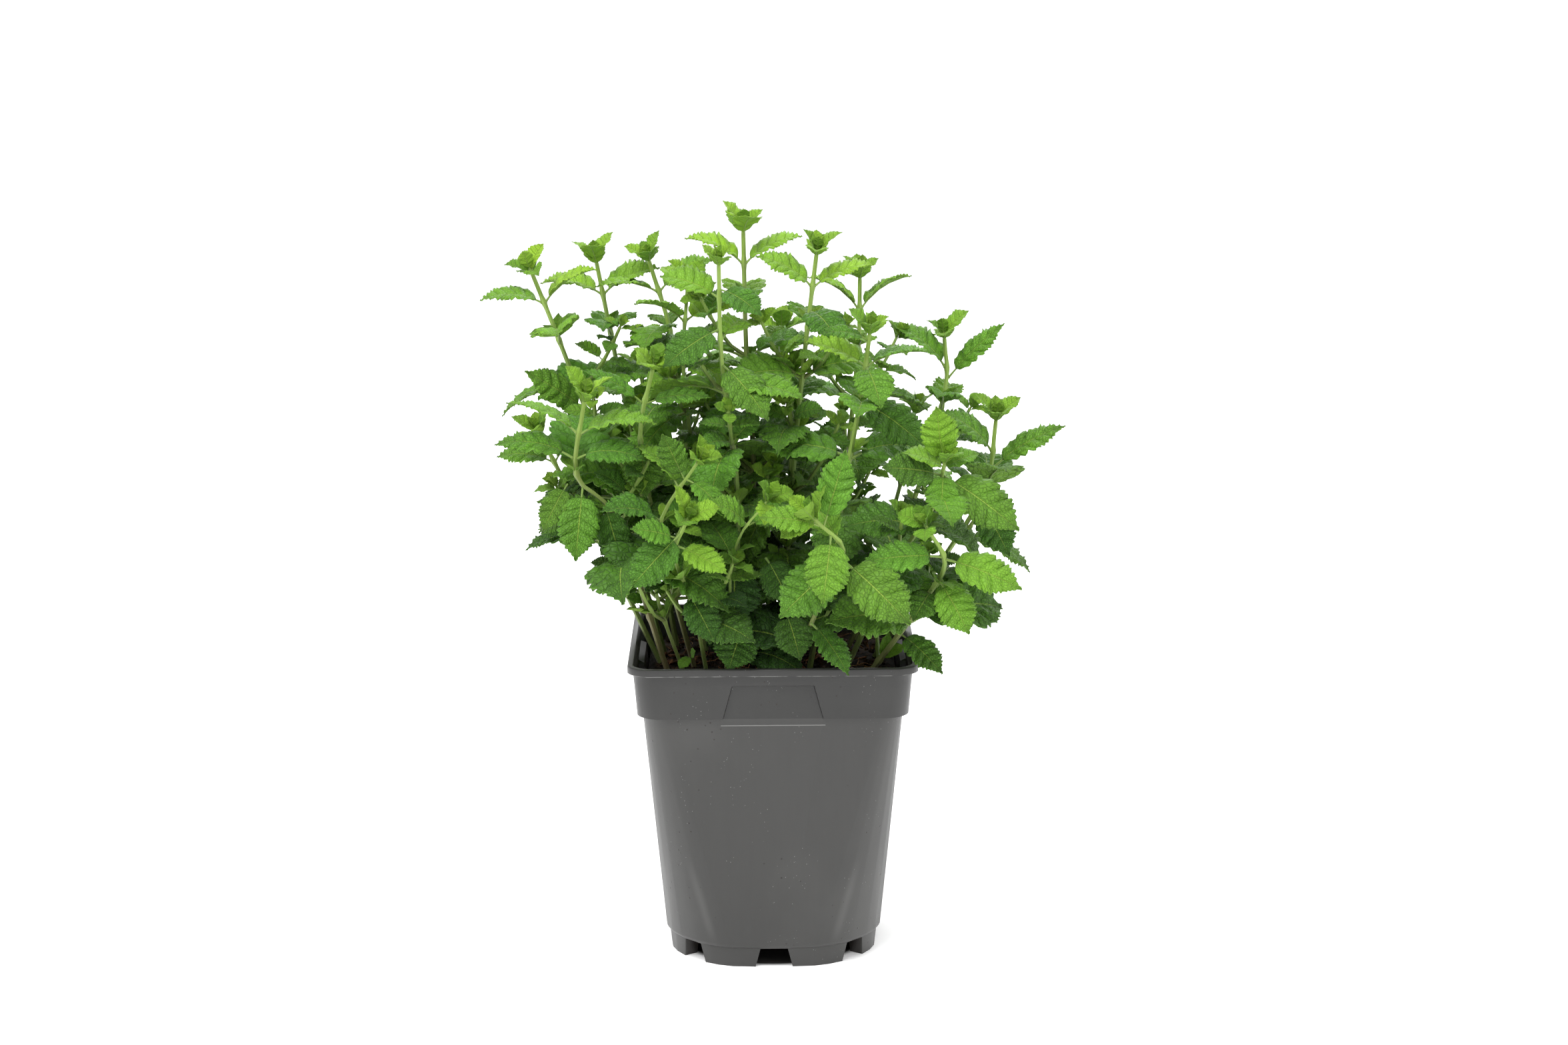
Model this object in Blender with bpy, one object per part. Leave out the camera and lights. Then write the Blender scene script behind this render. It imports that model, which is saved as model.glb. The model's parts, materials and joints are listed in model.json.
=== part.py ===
"""Potted mint plant: a square nursery pot, its peat root ball, the stems and their leaf pairs.

Frame: +Z up, metres. The origin is on the pot's axis, on the surface that the pot stands on,
and -Y is the front. The plant is spread so that its bounding box is centred on that axis.
Run with: blender --background --python part.py
"""
import math
from dataclasses import dataclass

import bmesh
import bpy
from mathutils import Matrix, Vector
from mathutils.bvhtree import BVHTree

MM = 0.001
GAP = 0.3 * MM

# ---------------------------------------------------------------- pot, driving sizes
RIM_HALF = 65.5 * MM           # half the width over the lip
POT_HEIGHT = 145.3 * MM
LIP_HEIGHT = 3.3 * MM
LIP_WIDTH = 2.5 * MM
LIP_ROUNDING = 0.4 * MM
SKIRT_TOP_HALF = 63.1 * MM
SKIRT_FOOT_HALF = 61.4 * MM
SKIRT_FOOT_Z = 121.0 * MM
SKIRT_EDGE = 0.4 * MM           # height over which the skirt steps out from the body
BODY_TOP_HALF = 59.0 * MM
BODY_FOOT_HALF = 50.4 * MM
FOOT_HEIGHT = 9.0 * MM
WALL = 1.3 * MM
BASE_ROUNDING = 2.5 * MM
BASE_INSET = 1.4 * MM            # how far the rounding takes the base in
TOP_CORNER_RADIUS = 12.0 * MM
BODY_TOP_RADIUS = 14.0 * MM
BODY_FOOT_RADIUS = 39.0 * MM
WALL_STEPS = 5                  # spans of the body wall between its rings

# The skirt has a flat recess in the middle of each side, level with the body.
RECESS_TOP_Z = 136.0 * MM
RECESS_TOP_HALF = 18.1 * MM
RECESS_FOOT_HALF = 22.1 * MM
RECESS_EDGE = 0.6 * MM

# Feet stand in a ring under the base, with a gap in the middle of each side and at each corner.
FOOT_GAP_HALF = 5.7 * MM
FOOT_DEPTH = 10.0 * MM
FOOT_TAPER = 0.84
CORNER_GAP_ARC = (37.5, 52.5)  # degrees on the corner arc
DRAIN_RADIUS = 3.0 * MM
DRAIN_SIDES = 12

# ---------------------------------------------------------------- root ball
SOIL_TOP_Z = 132.0 * MM
SOIL_SHOULDER = 3.0 * MM

# ---------------------------------------------------------------- plant, driving sizes
STEM_FOOT_HALF = 1.35 * MM     # half the side of the square stem at the peat
STEM_TIP_HALF = 0.85 * MM
RINGS_PER_SPAN = 4
BUD_LENGTH = 15.0 * MM
BUD_PROFILE = ((0.22, 2.6), (0.5, 3.6), (0.8, 2.4), (1.0, 0.7))  # share of length, half width mm
FIRST_INTERNODE = 14.0 * MM
INTERNODE_STEP = 5.0 * MM
LONGEST_INTERNODE = 27.0 * MM
TOP_LEAF_LENGTH = 28.0 * MM
LEAF_LENGTH_STEP = 4.5 * MM
LONGEST_LEAF = 38.0 * MM
PETIOLE_SHARE = 0.16
PETIOLE_HALF = 0.7 * MM
BLADE_TIP_HALF = 0.5 * MM
MIDRIB_STEPS = 16               # steps in which the arched midrib is followed
LEAF_WIDTH_SHARE = 0.50
LEAF_THICKNESS = 0.9 * MM
LEAF_FOLD = 0.16               # how far the midrib lies below the edges, per half width
LEAF_STATIONS = (0.16, 0.26, 0.42, 0.62, 0.82, 1.0)
COLLAR_HEIGHT = 2.4 * MM
COLLAR_WALL = 0.9 * MM
COLLAR_CLEARANCE = 1.3          # inner half width of a collar, as a multiple of its stem's
TOP_DROOP = 50.0               # how far a blade arches over from stalk to tip, degrees
DROOP_STEP = 8.0
LIFT_STEP = 8.0
LEAN_SHARE = 0.7               # how much of the stem's lean its leaves take up
LEAF_TURNS = (0, 8, -8, 16, -16, 24, -24, 34, -34, 45, -45)
LEAF_SHRINKS = (1.0, 0.92, 0.84, 0.72)


@dataclass(frozen=True)
class Finish:
    """Colour, roughness and metallic value of one Principled material."""

    name: str
    colour: tuple
    roughness: float
    metallic: float = 0.0


POT_PLASTIC = Finish("pot_plastic", (0.115, 0.115, 0.112, 1.0), 0.42)
PEAT = Finish("peat", (0.022, 0.014, 0.009, 1.0), 0.95)
STEM_SKIN = Finish("stem_skin", (0.20, 0.32, 0.06, 1.0), 0.6)
LEAF_SKIN = Finish("leaf_skin", (0.075, 0.24, 0.03, 1.0), 0.55)


@dataclass(frozen=True)
class Shoot:
    """One stem of the plant.

    route: points from the peat to the base of the crown, in millimetres.
    turn: compass direction of the top leaf pair in degrees, 0 at +X and 270 at the front.
    pairs: which leaf pairs, counted from the top, are solids here.
    lift: how steeply the top leaves leave the stem, in degrees.
    size: scale of this stem's leaves.
    """

    route: tuple
    turn: float
    pairs: tuple = (0,)
    lift: float = 42.0
    size: float = 1.0


SHOOTS = {
    "01": Shoot(((-50, 14, 132), (-71, 18, 206), (-96, 27, 275), (-110, 30, 311)), 184, (0, 2)),
    "02": Shoot(((-45, 32, 132), (-55, 35, 190), (-69, 42, 252), (-81, 50, 313)), 178, (0, 1)),
    "03": Shoot(((-31, 23, 132), (-38, 31, 220), (-46, 37, 280), (-56, 40, 315)), 188),
    "04": Shoot(((-24, 7, 132), (-34, 11, 215), (-40, 14, 267), (-38, 15, 305)), 35),
    "05": Shoot(((-21, -16, 132), (-15, -22, 209), (-22, -25, 277), (-23, -25, 321)), 340, (0, 2)),
    "06": Shoot(((-9, 5, 132), (-8, 6, 224), (-11, 8, 278), (-12, 10, 332)), 4, (0, 2), 50),
    "07": Shoot(((3, -3, 132), (9, -3, 210), (15, -4, 273), (21, -5, 323)), 2, (0,), 50),
    "08": Shoot(((23, 33, 132), (35, 44, 210), (42, 56, 270), (43, 60, 304)), 8, (0,), 58),
    "09": Shoot(((17, -17, 132), (29, -24, 199), (40, -32, 261), (44, -35, 291)), 176, (0, 1)),
    "10": Shoot(((36, 26, 132), (66, 40, 195), (83, 52, 250), (83, 55, 276)), 350, (0,), 64, 1.15),
    "11": Shoot(((48, 8, 132), (76, 12, 172), (100, 18, 210), (105, 20, 242)), 3, (0, 1), 60, 1.12),
    "12": Shoot(((11, 12, 132), (8, 4, 195), (9, 1, 229), (9, 0, 267)), 60),
    "13": Shoot(((-47, -28, 132), (-70, -38, 208), (-87, -44, 230), (-83, -45, 263)), 176, (0,), 40, 1.2),
    "14": Shoot(((-36, -10, 132), (-52, -20, 198), (-59, -28, 244), (-53, -30, 275)), 182, (0,), 40, 1.1),
    "15": Shoot(((-52, 0, 132), (-80, 3, 192), (-97, 5, 221), (-106, 5, 240)), 170, (0,), 45, 0.9),
    "16": Shoot(((-39, -34, 132), (-53, -45, 180), (-49, -54, 212), (-33, -60, 238)), 330, (0,), 35),
    "17": Shoot(((-29, -40, 132), (-35, -54, 170), (-43, -70, 198), (-38, -75, 214)), 165, (0,), 30, 0.95),
    "18": Shoot(((6, -38, 132), (24, -64, 182), (31, -81, 203), (19, -86, 217)), 275, (0,), 45, 0.95),
    "19": Shoot(((41, -38, 132), (66, -56, 172), (76, -70, 194), (68, -75, 211)), 350, (0,), 24, 1.25),
    "20": Shoot(((32, -28, 132), (56, -42, 188), (72, -54, 217), (76, -60, 236)), 280, (0, 1), 20, 1.05),
    "21": Shoot(((-14, -36, 132), (-19, -48, 175), (-15, -58, 203), (-3, -66, 221)), 190, (0,), 45, 0.8),
    "22": Shoot(((-30, 42, 132), (-46, 60, 190), (-58, 76, 232), (-62, 80, 256)), 200, (0, 1)),
    "23": Shoot(((1, 40, 132), (3, 62, 200), (4, 78, 245), (6, 83, 276)), 82, (0,), 50),
    "24": Shoot(((40, 42, 132), (56, 62, 180), (66, 72, 214), (70, 76, 236)), 330, (0,), 40, 1.1),
    "25": Shoot(((-14, 42, 132), (-22, 68, 178), (-24, 82, 204), (-22, 86, 220)), 160, (0,), 40),
}


# ---------------------------------------------------------------- helpers
def clear_scene():
    for item in list(bpy.data.objects):
        bpy.data.objects.remove(item, do_unlink=True)


def make_material(finish):
    material = bpy.data.materials.get(finish.name)
    if material is None:
        material = bpy.data.materials.new(finish.name)
        material.use_nodes = True
        shader = material.node_tree.nodes["Principled BSDF"]
        shader.inputs["Base Color"].default_value = finish.colour
        shader.inputs["Roughness"].default_value = finish.roughness
        shader.inputs["Metallic"].default_value = finish.metallic
        material.diffuse_color = finish.colour
    return material


def mesh_object(name, bm, finish):
    """Turn a bmesh into a linked object with one material."""
    mesh = bpy.data.meshes.new(name)
    bm.normal_update()
    bm.to_mesh(mesh)
    bm.free()
    mesh.materials.append(make_material(finish))
    item = bpy.data.objects.new(name, mesh)
    bpy.context.scene.collection.objects.link(item)
    return item


def blend(a, b, t):
    return a + (b - a) * t


def add_ring(bm, points):
    return [bm.verts.new(p) for p in points]


def bridge_rings(bm, rings):
    """Join rings of equal count with quads, the first ring to the last in order."""
    for low, high in zip(rings, rings[1:]):
        count = len(low)
        for i in range(count):
            j = (i + 1) % count
            bm.faces.new((low[i], low[j], high[j], high[i]))


# ---------------------------------------------------------------- pot
CORNER_ARC = (0.0, 12.5, 25.0, CORNER_GAP_ARC[0], CORNER_GAP_ARC[1], 65.0, 77.5, 90.0)


def square_outline(half, radius, column, middle_half=None):
    """Points of a rounded square, anticlockwise, with four columns along each side.

    column: distance of the inner columns from the middle of the side.
    middle_half: where given, the inner columns stand at this distance from the axis.
    """
    middle_half = half if middle_half is None else middle_half
    straight = half - radius
    outer_column = min(column + RECESS_EDGE, straight)
    side = [
        Vector((half, -outer_column)),
        Vector((middle_half, -min(column, outer_column - 0.2 * MM))),
        Vector((middle_half, min(column, outer_column - 0.2 * MM))),
        Vector((half, outer_column)),
    ]
    for degrees in CORNER_ARC[1:-1]:
        angle = math.radians(degrees)
        side.append(Vector((straight + radius * math.cos(angle), straight + radius * math.sin(angle))))
    points = []
    for quarter in range(4):
        turn = Matrix.Rotation(math.radians(90 * quarter), 2)
        points.extend(turn @ p for p in side)
    return points


def level_ring(bm, z, half, radius, column, middle_half=None):
    outline = square_outline(half, radius, column, middle_half)
    return add_ring(bm, [Vector((p.x, p.y, z)) for p in outline])


def body_share(z):
    """0 at the foot of the body, 1 where it meets the skirt."""
    return (z - FOOT_HEIGHT) / (SKIRT_FOOT_Z - FOOT_HEIGHT)


def body_half(z):
    return blend(BODY_FOOT_HALF, BODY_TOP_HALF, body_share(z))


def body_radius(z):
    return blend(BODY_FOOT_RADIUS, BODY_TOP_RADIUS, body_share(z))


def body_column(z):
    return blend(FOOT_GAP_HALF, RECESS_FOOT_HALF, min(body_share(z), 1.0))


def skirt_half(z):
    share = (z - SKIRT_FOOT_Z) / (POT_HEIGHT - LIP_HEIGHT - SKIRT_FOOT_Z)
    return blend(SKIRT_FOOT_HALF, SKIRT_TOP_HALF, share)


def recess_column(z):
    share = (z - SKIRT_FOOT_Z) / (RECESS_TOP_Z - SKIRT_FOOT_Z)
    return blend(RECESS_FOOT_HALF, RECESS_TOP_HALF, min(share, 1.0))


def outer_rings(bm):
    """Rings of the outside wall, from the base up to the lip's outer edge."""
    rings = []
    heights = [FOOT_HEIGHT + BASE_ROUNDING * 0.35, FOOT_HEIGHT + BASE_ROUNDING]
    rings.append(level_ring(bm, FOOT_HEIGHT, BODY_FOOT_HALF - BASE_INSET, BODY_FOOT_RADIUS, FOOT_GAP_HALF))
    for z, inset in zip(heights, (0.5 * MM, 0.0)):
        rings.append(level_ring(bm, z, body_half(z) - inset, body_radius(z), body_column(z)))
    for step in range(1, WALL_STEPS + 1):
        z = blend(heights[-1], SKIRT_FOOT_Z, step / WALL_STEPS)
        rings.append(level_ring(bm, z, body_half(z), body_radius(z), body_column(z)))
    for z in (SKIRT_FOOT_Z, blend(SKIRT_FOOT_Z, RECESS_TOP_Z, 0.5), RECESS_TOP_Z):
        half, column = skirt_half(z), recess_column(z)
        rings.append(level_ring(bm, z + SKIRT_EDGE, half, TOP_CORNER_RADIUS, column, body_half(z)))
    for z in (RECESS_TOP_Z + RECESS_EDGE * 2, POT_HEIGHT - LIP_HEIGHT):
        rings.append(level_ring(bm, z, skirt_half(z), TOP_CORNER_RADIUS, RECESS_TOP_HALF))
    for z, half in (
        (POT_HEIGHT - LIP_HEIGHT, RIM_HALF),
        (POT_HEIGHT - LIP_ROUNDING, RIM_HALF),
        (POT_HEIGHT, RIM_HALF - LIP_ROUNDING),
    ):
        rings.append(level_ring(bm, z, half, TOP_CORNER_RADIUS, RECESS_TOP_HALF))
    return rings


def inner_rings(bm):
    """Rings of the inside wall, from the lip's inner edge down to the floor."""
    lip_corner = TOP_CORNER_RADIUS - LIP_WIDTH
    rings = [level_ring(bm, POT_HEIGHT, RIM_HALF - LIP_WIDTH, lip_corner, RECESS_TOP_HALF)]
    z = POT_HEIGHT - LIP_HEIGHT
    inner_corner = TOP_CORNER_RADIUS - WALL
    rings.append(level_ring(bm, z, skirt_half(z) - WALL, inner_corner, RECESS_TOP_HALF))
    z = RECESS_TOP_Z + RECESS_EDGE * 2 + WALL
    rings.append(level_ring(bm, z, skirt_half(z) - WALL, inner_corner, RECESS_TOP_HALF))
    for z in (RECESS_TOP_Z + WALL, blend(SKIRT_FOOT_Z, RECESS_TOP_Z, 0.5), SKIRT_FOOT_Z + WALL):
        middle = body_half(z) - WALL
        rings.append(level_ring(bm, z, skirt_half(z) - WALL, inner_corner, recess_column(z) + WALL, middle))
    for step in range(WALL_STEPS + 1):
        z = blend(SKIRT_FOOT_Z, FOOT_HEIGHT + WALL + BASE_ROUNDING, step / WALL_STEPS)
        rings.append(level_ring(bm, z, body_half(z) - WALL, body_radius(z) - WALL, body_column(z)))
    floor_half = BODY_FOOT_HALF - WALL - BASE_INSET
    rings.append(level_ring(bm, FOOT_HEIGHT + WALL, floor_half, BODY_FOOT_RADIUS - WALL, FOOT_GAP_HALF))
    return rings


def foot_faces(bm, outer, inner):
    """Close the underside with a band and a middle plate, and return each foot's band faces."""
    count = len(outer)
    quarter = count // 4
    feet = []
    for i in range(count):
        j = (i + 1) % count
        face = bm.faces.new((outer[j], outer[i], inner[i], inner[j]))
        place = i % quarter
        in_middle_gap = place in (0, 1, 2)
        in_corner_gap = place == 3 + CORNER_ARC.index(CORNER_GAP_ARC[0])
        if in_middle_gap or in_corner_gap:
            feet.append([])
            continue
        if not feet:
            feet.append([])
        feet[-1].append(face)
    return [faces for faces in feet if faces]


def lower_foot(bm, faces):
    """Push one foot down out of the underside, a little narrower at its sole."""
    pushed = bmesh.ops.extrude_face_region(bm, geom=faces)
    verts = [g for g in pushed["geom"] if isinstance(g, bmesh.types.BMVert)]
    bmesh.ops.delete(bm, geom=faces, context="FACES_ONLY")
    centre = sum((v.co for v in verts), Vector()) / len(verts)
    for v in verts:
        v.co = centre + (v.co - centre) * FOOT_TAPER
        v.co.z = 0.0


def drain_cutter():
    """Posts that drill a drain hole through the floor at every gap between the feet."""
    bm = bmesh.new()
    radius = BODY_FOOT_HALF - FOOT_DEPTH * 0.62
    for step in range(8):
        angle = math.radians(45 * step)
        centre = Vector((radius * math.cos(angle), radius * math.sin(angle), FOOT_HEIGHT))
        bmesh.ops.create_cone(
            bm,
            cap_ends=True,
            segments=DRAIN_SIDES,
            radius1=DRAIN_RADIUS,
            radius2=DRAIN_RADIUS,
            depth=FOOT_HEIGHT,
            matrix=Matrix.Translation(centre),
        )
    cutter = mesh_object("drain_cutter", bm, POT_PLASTIC)
    cutter.hide_render = True
    cutter.display_type = "WIRE"
    return cutter


def build_pot():
    """The pot is one moulding: wall, skirt, lip, floor and feet."""
    bm = bmesh.new()
    rings = outer_rings(bm) + inner_rings(bm)
    bridge_rings(bm, rings)
    bm.faces.new(rings[-1])
    under = rings[0]
    inner_half = BODY_FOOT_HALF - FOOT_DEPTH
    inner = level_ring(bm, FOOT_HEIGHT, inner_half, BODY_FOOT_RADIUS - FOOT_DEPTH, FOOT_GAP_HALF)
    feet = foot_faces(bm, under, inner)
    bm.faces.new(list(reversed(inner)))
    for faces in feet:
        lower_foot(bm, faces)
    bmesh.ops.recalc_face_normals(bm, faces=bm.faces)
    pot = mesh_object("pot", bm, POT_PLASTIC)
    drill = pot.modifiers.new("drain_holes", "BOOLEAN")
    drill.operation = "DIFFERENCE"
    drill.object = drain_cutter()
    return pot


# ---------------------------------------------------------------- root ball
def build_root_ball():
    """Peat that fills the pot up to a little below the lip, clear of the wall by the gap."""
    bm = bmesh.new()
    clear = WALL + GAP
    floor_z = FOOT_HEIGHT + WALL + GAP
    floor_half = BODY_FOOT_HALF - clear - BASE_INSET
    rings = [level_ring(bm, floor_z, floor_half, BODY_FOOT_RADIUS - clear, FOOT_GAP_HALF)]
    for step in range(4):
        z = blend(floor_z + BASE_ROUNDING, SOIL_TOP_Z - SOIL_SHOULDER, step / 3)
        rings.append(level_ring(bm, z, body_half(z) - clear, body_radius(z) - clear, FOOT_GAP_HALF))
    top_half = body_half(SOIL_TOP_Z) - clear - SOIL_SHOULDER
    rings.append(level_ring(bm, SOIL_TOP_Z, top_half, BODY_TOP_RADIUS, FOOT_GAP_HALF))
    bridge_rings(bm, rings)
    bm.faces.new(list(reversed(rings[0])))
    bm.faces.new(rings[-1])
    bmesh.ops.recalc_face_normals(bm, faces=bm.faces)
    return mesh_object("root_ball", bm, PEAT)


# ---------------------------------------------------------------- stems
def route_points(shoot):
    """Points of a stem's centre line at rising heights, on a smooth curve through its route."""
    knots = [Vector(p) * MM for p in shoot.route]
    knots[0].z = SOIL_TOP_Z + GAP
    padded = [knots[0] * 2 - knots[1]] + knots + [knots[-1] * 2 - knots[-2]]
    points = []
    for before, start, end, after in zip(padded, padded[1:], padded[2:], padded[3:]):
        for step in range(RINGS_PER_SPAN):
            t = step / RINGS_PER_SPAN
            points.append(
                0.5 * (
                    2 * start
                    + (end - before) * t
                    + (2 * before - 5 * start + 4 * end - after) * t * t
                    + (3 * start - before - 3 * end + after) * t * t * t
                )
            )
    points.append(knots[-1])
    return points


def stem_half(z, top_z):
    return blend(STEM_FOOT_HALF, STEM_TIP_HALF, (z - SOIL_TOP_Z) / (top_z - SOIL_TOP_Z))


def square_ring(bm, centre, half, turn):
    """A level square ring whose corners point along the turn."""
    points = []
    for quarter in range(4):
        angle = math.radians(turn + 45 + 90 * quarter)
        reach = half * math.sqrt(2)
        points.append(centre + Vector((reach * math.cos(angle), reach * math.sin(angle), 0)))
    return add_ring(bm, points)


def build_stem(label, shoot):
    """A square stem that ends in a closed bud, which stands for the folded young leaves."""
    bm = bmesh.new()
    points = route_points(shoot)
    top = points[-1]
    lean = (points[-1] - points[-2]).normalized()
    rings = [square_ring(bm, p, stem_half(p.z, top.z), shoot.turn) for p in points]
    for share, half in BUD_PROFILE:
        centre = top + lean * (BUD_LENGTH * share)
        rings.append(square_ring(bm, centre, half * MM, shoot.turn))
    bridge_rings(bm, rings)
    bm.faces.new(list(reversed(rings[0])))
    bm.faces.new(rings[-1])
    bmesh.ops.recalc_face_normals(bm, faces=bm.faces)
    return mesh_object("stem_" + label, bm, STEM_SKIN)


# ---------------------------------------------------------------- leaves
def node_depth(pair):
    """Distance along the stem from the crown's base down to a leaf pair, 0 being the top one."""
    depth = 0.0
    for step in range(pair + 1):
        depth += min(FIRST_INTERNODE + INTERNODE_STEP * step, LONGEST_INTERNODE)
    return depth


def point_down_stem(points, depth):
    """The place on a centre line that lies this far below its top."""
    upper = points[-1]
    for lower in reversed(points[:-1]):
        span = (upper - lower).length
        if depth <= span:
            return upper.lerp(lower, depth / span)
        depth -= span
        upper = lower
    return points[0]


def leaf_length(pair):
    return min(TOP_LEAF_LENGTH + LEAF_LENGTH_STEP * pair, LONGEST_LEAF)


def blade_half_width(share, length):
    """Half the width of a blade at a share of its length: a stalk, then an ovate blade."""
    if share <= PETIOLE_SHARE:
        return PETIOLE_HALF
    t = (share - PETIOLE_SHARE) / (1.0 - PETIOLE_SHARE)
    full = length * LEAF_WIDTH_SHARE / 2
    return max(full * math.sin(math.pi * t ** 0.72) ** 0.85, BLADE_TIP_HALF)


def blade_point(share, length, lift, droop):
    """Place along the arched midrib, as distance outward and height, and its slope."""
    outward = 0.0
    height = 0.0
    run = length * share / MIDRIB_STEPS
    for step in range(MIDRIB_STEPS):
        t = share * (step + 0.5) / MIDRIB_STEPS
        slope = math.radians(lift - droop * t)
        outward += math.cos(slope) * run
        height += math.sin(slope) * run
    return outward, height, math.radians(lift - droop * share)


def add_blade(bm, root, up, heading, length, lift, droop):
    """Grow one blade out of a collar face, four corners a station, and close its tip."""
    level = Vector((math.cos(heading), math.sin(heading), 0))
    across = up.cross(level).normalized()
    along = across.cross(up)
    start = sum((v.co for v in root), Vector()) / 4
    rings = [root]
    for share in LEAF_STATIONS:
        outward, height, slope = blade_point(share, length, lift, droop)
        centre = start + along * outward + up * height
        normal = up * math.cos(slope) - along * math.sin(slope)
        half = blade_half_width(share, length)
        sunk = normal * (half * LEAF_FOLD)
        thick = normal * (LEAF_THICKNESS / 2)
        edge = across * half
        midrib = centre - sunk
        rings.append(add_ring(bm, (centre - edge, midrib - thick, centre + edge, midrib + thick)))
    bridge_rings(bm, rings)
    bm.faces.new(rings[-1])


def leaf_pair_mesh(stem_points, shoot, pair, turn_offset, shrink):
    """A collar round the stem with two opposite blades, as a bmesh."""
    bm = bmesh.new()
    top = stem_points[-1]
    centre = point_down_stem(stem_points, node_depth(pair))
    turn = shoot.turn + 90 * pair + turn_offset
    half = stem_half(centre.z, top.z)
    lean = slope_at(stem_points, centre.z)
    inner_half = half * COLLAR_CLEARANCE + GAP
    outer_half = inner_half + COLLAR_WALL
    rings = []
    for ring_half, end in ((inner_half, -1), (outer_half, -1), (outer_half, 1), (inner_half, 1)):
        place = centre + lean * (COLLAR_HEIGHT / 2 * end)
        rings.append(square_ring(bm, place, ring_half, turn))
    bridge_rings(bm, rings + [rings[0]])
    length = leaf_length(pair) * shoot.size * shrink
    lift = shoot.lift - LIFT_STEP * pair
    droop = TOP_DROOP + DROOP_STEP * pair
    up = lean.lerp(Vector((0, 0, 1)), 1 - LEAN_SHARE).normalized()
    for side in (0, 2):
        low, high = rings[1], rings[2]
        # The square's side that faces along the heading lies between two of its corners.
        a, b = (3 + side) % 4, side
        quad = [low[a], low[b], high[b], high[a]]
        face = bm.faces.get(quad)
        bm.faces.remove(face)
        heading = math.radians(turn + 90 * side)
        root = [high[a], low[a], low[b], high[b]]
        add_blade(bm, root, up, heading, length, lift, droop)
    bmesh.ops.recalc_face_normals(bm, faces=bm.faces)
    return bm


def slope_at(points, z):
    """Sideways run of the centre line per unit of height at a height."""
    for lower, upper in zip(points, points[1:]):
        if z <= upper.z:
            run = upper - lower
            return run / run.z
    return Vector((0, 0, 1))


def grow_leaf_pair(label, shoot, pair, solids):
    """Place one leaf pair where it clears every solid that is there already."""
    points = route_points(shoot)
    for shrink in LEAF_SHRINKS:
        for offset in LEAF_TURNS:
            bm = leaf_pair_mesh(points, shoot, pair, offset, shrink)
            tree = BVHTree.FromBMesh(bm)
            if not any(tree.overlap(solid) for solid in solids):
                solids.append(tree)
                return mesh_object("leaves_%s_%d" % (label, pair + 1), bm, LEAF_SKIN)
            bm.free()
    print("no room for leaves_%s_%d" % (label, pair + 1))
    return None


def solid_tree(item):
    bm = bmesh.new()
    bm.from_mesh(item.data)
    tree = BVHTree.FromBMesh(bm)
    bm.free()
    return tree


def main():
    clear_scene()
    solids = [solid_tree(build_pot()), solid_tree(build_root_ball())]
    for label, shoot in SHOOTS.items():
        solids.append(solid_tree(build_stem(label, shoot)))
    for label, shoot in SHOOTS.items():
        for pair in shoot.pairs:
            grow_leaf_pair(label, shoot, pair, solids)


main()
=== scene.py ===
"""Potted mint plant: fine stems, leaves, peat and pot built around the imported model.

Every length is in metres unless a name says otherwise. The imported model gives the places: stem centre
lines, leaf tips, the peat's level and the pot's walls are all read from its nodes.
"""

from __future__ import annotations

import json
import logging
import math
import random
from dataclasses import dataclass, field
from enum import Enum
from typing import Callable, Iterable, Sequence

import bmesh
import bpy
import numpy as np
from mathutils import Matrix, Vector

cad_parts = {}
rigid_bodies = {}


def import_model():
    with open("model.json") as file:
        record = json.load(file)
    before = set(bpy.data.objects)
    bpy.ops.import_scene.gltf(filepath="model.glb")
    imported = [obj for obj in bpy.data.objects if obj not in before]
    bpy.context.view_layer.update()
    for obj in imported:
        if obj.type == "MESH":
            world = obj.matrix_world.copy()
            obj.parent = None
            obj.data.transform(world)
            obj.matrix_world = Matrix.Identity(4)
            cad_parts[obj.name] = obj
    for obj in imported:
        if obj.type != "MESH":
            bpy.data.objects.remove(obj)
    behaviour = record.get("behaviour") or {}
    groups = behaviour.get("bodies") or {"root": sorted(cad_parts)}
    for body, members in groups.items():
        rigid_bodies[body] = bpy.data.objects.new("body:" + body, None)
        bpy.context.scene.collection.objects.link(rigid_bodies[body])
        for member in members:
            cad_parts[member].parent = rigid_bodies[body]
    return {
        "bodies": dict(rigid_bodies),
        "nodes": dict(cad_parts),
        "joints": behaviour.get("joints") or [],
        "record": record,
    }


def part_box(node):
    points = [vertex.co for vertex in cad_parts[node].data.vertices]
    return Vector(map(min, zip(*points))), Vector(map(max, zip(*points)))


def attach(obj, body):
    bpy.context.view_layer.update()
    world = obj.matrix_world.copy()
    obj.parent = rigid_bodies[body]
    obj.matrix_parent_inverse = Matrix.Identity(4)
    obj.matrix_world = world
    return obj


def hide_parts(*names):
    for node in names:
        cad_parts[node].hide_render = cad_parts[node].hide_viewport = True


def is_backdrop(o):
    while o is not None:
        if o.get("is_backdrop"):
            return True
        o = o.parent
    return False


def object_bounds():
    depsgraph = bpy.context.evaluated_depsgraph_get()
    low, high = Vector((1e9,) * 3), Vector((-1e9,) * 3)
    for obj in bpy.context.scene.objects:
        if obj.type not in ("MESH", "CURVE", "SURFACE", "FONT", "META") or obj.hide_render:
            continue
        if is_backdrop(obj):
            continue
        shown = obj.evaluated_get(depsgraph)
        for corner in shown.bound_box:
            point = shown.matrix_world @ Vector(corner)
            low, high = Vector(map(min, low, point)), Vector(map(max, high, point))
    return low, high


log = logging.getLogger("potted_mint")

MM = 0.001
BODY = "root"
AGE = "age"      # point attribute: 0 on a fresh tip, 1 on an old low leaf; the dark colour that it gives is partly painted shade
TINT = "tint"    # point attribute: 0 to 1, one value for each leaf or stem
WOOD = "wood"    # point attribute: 0 on green stems and leaf stalks, 1 on brown ones

Colour = tuple[float, float, float, float]


# ---------------------------------------------------------------- bench: modelling by hand


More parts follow.
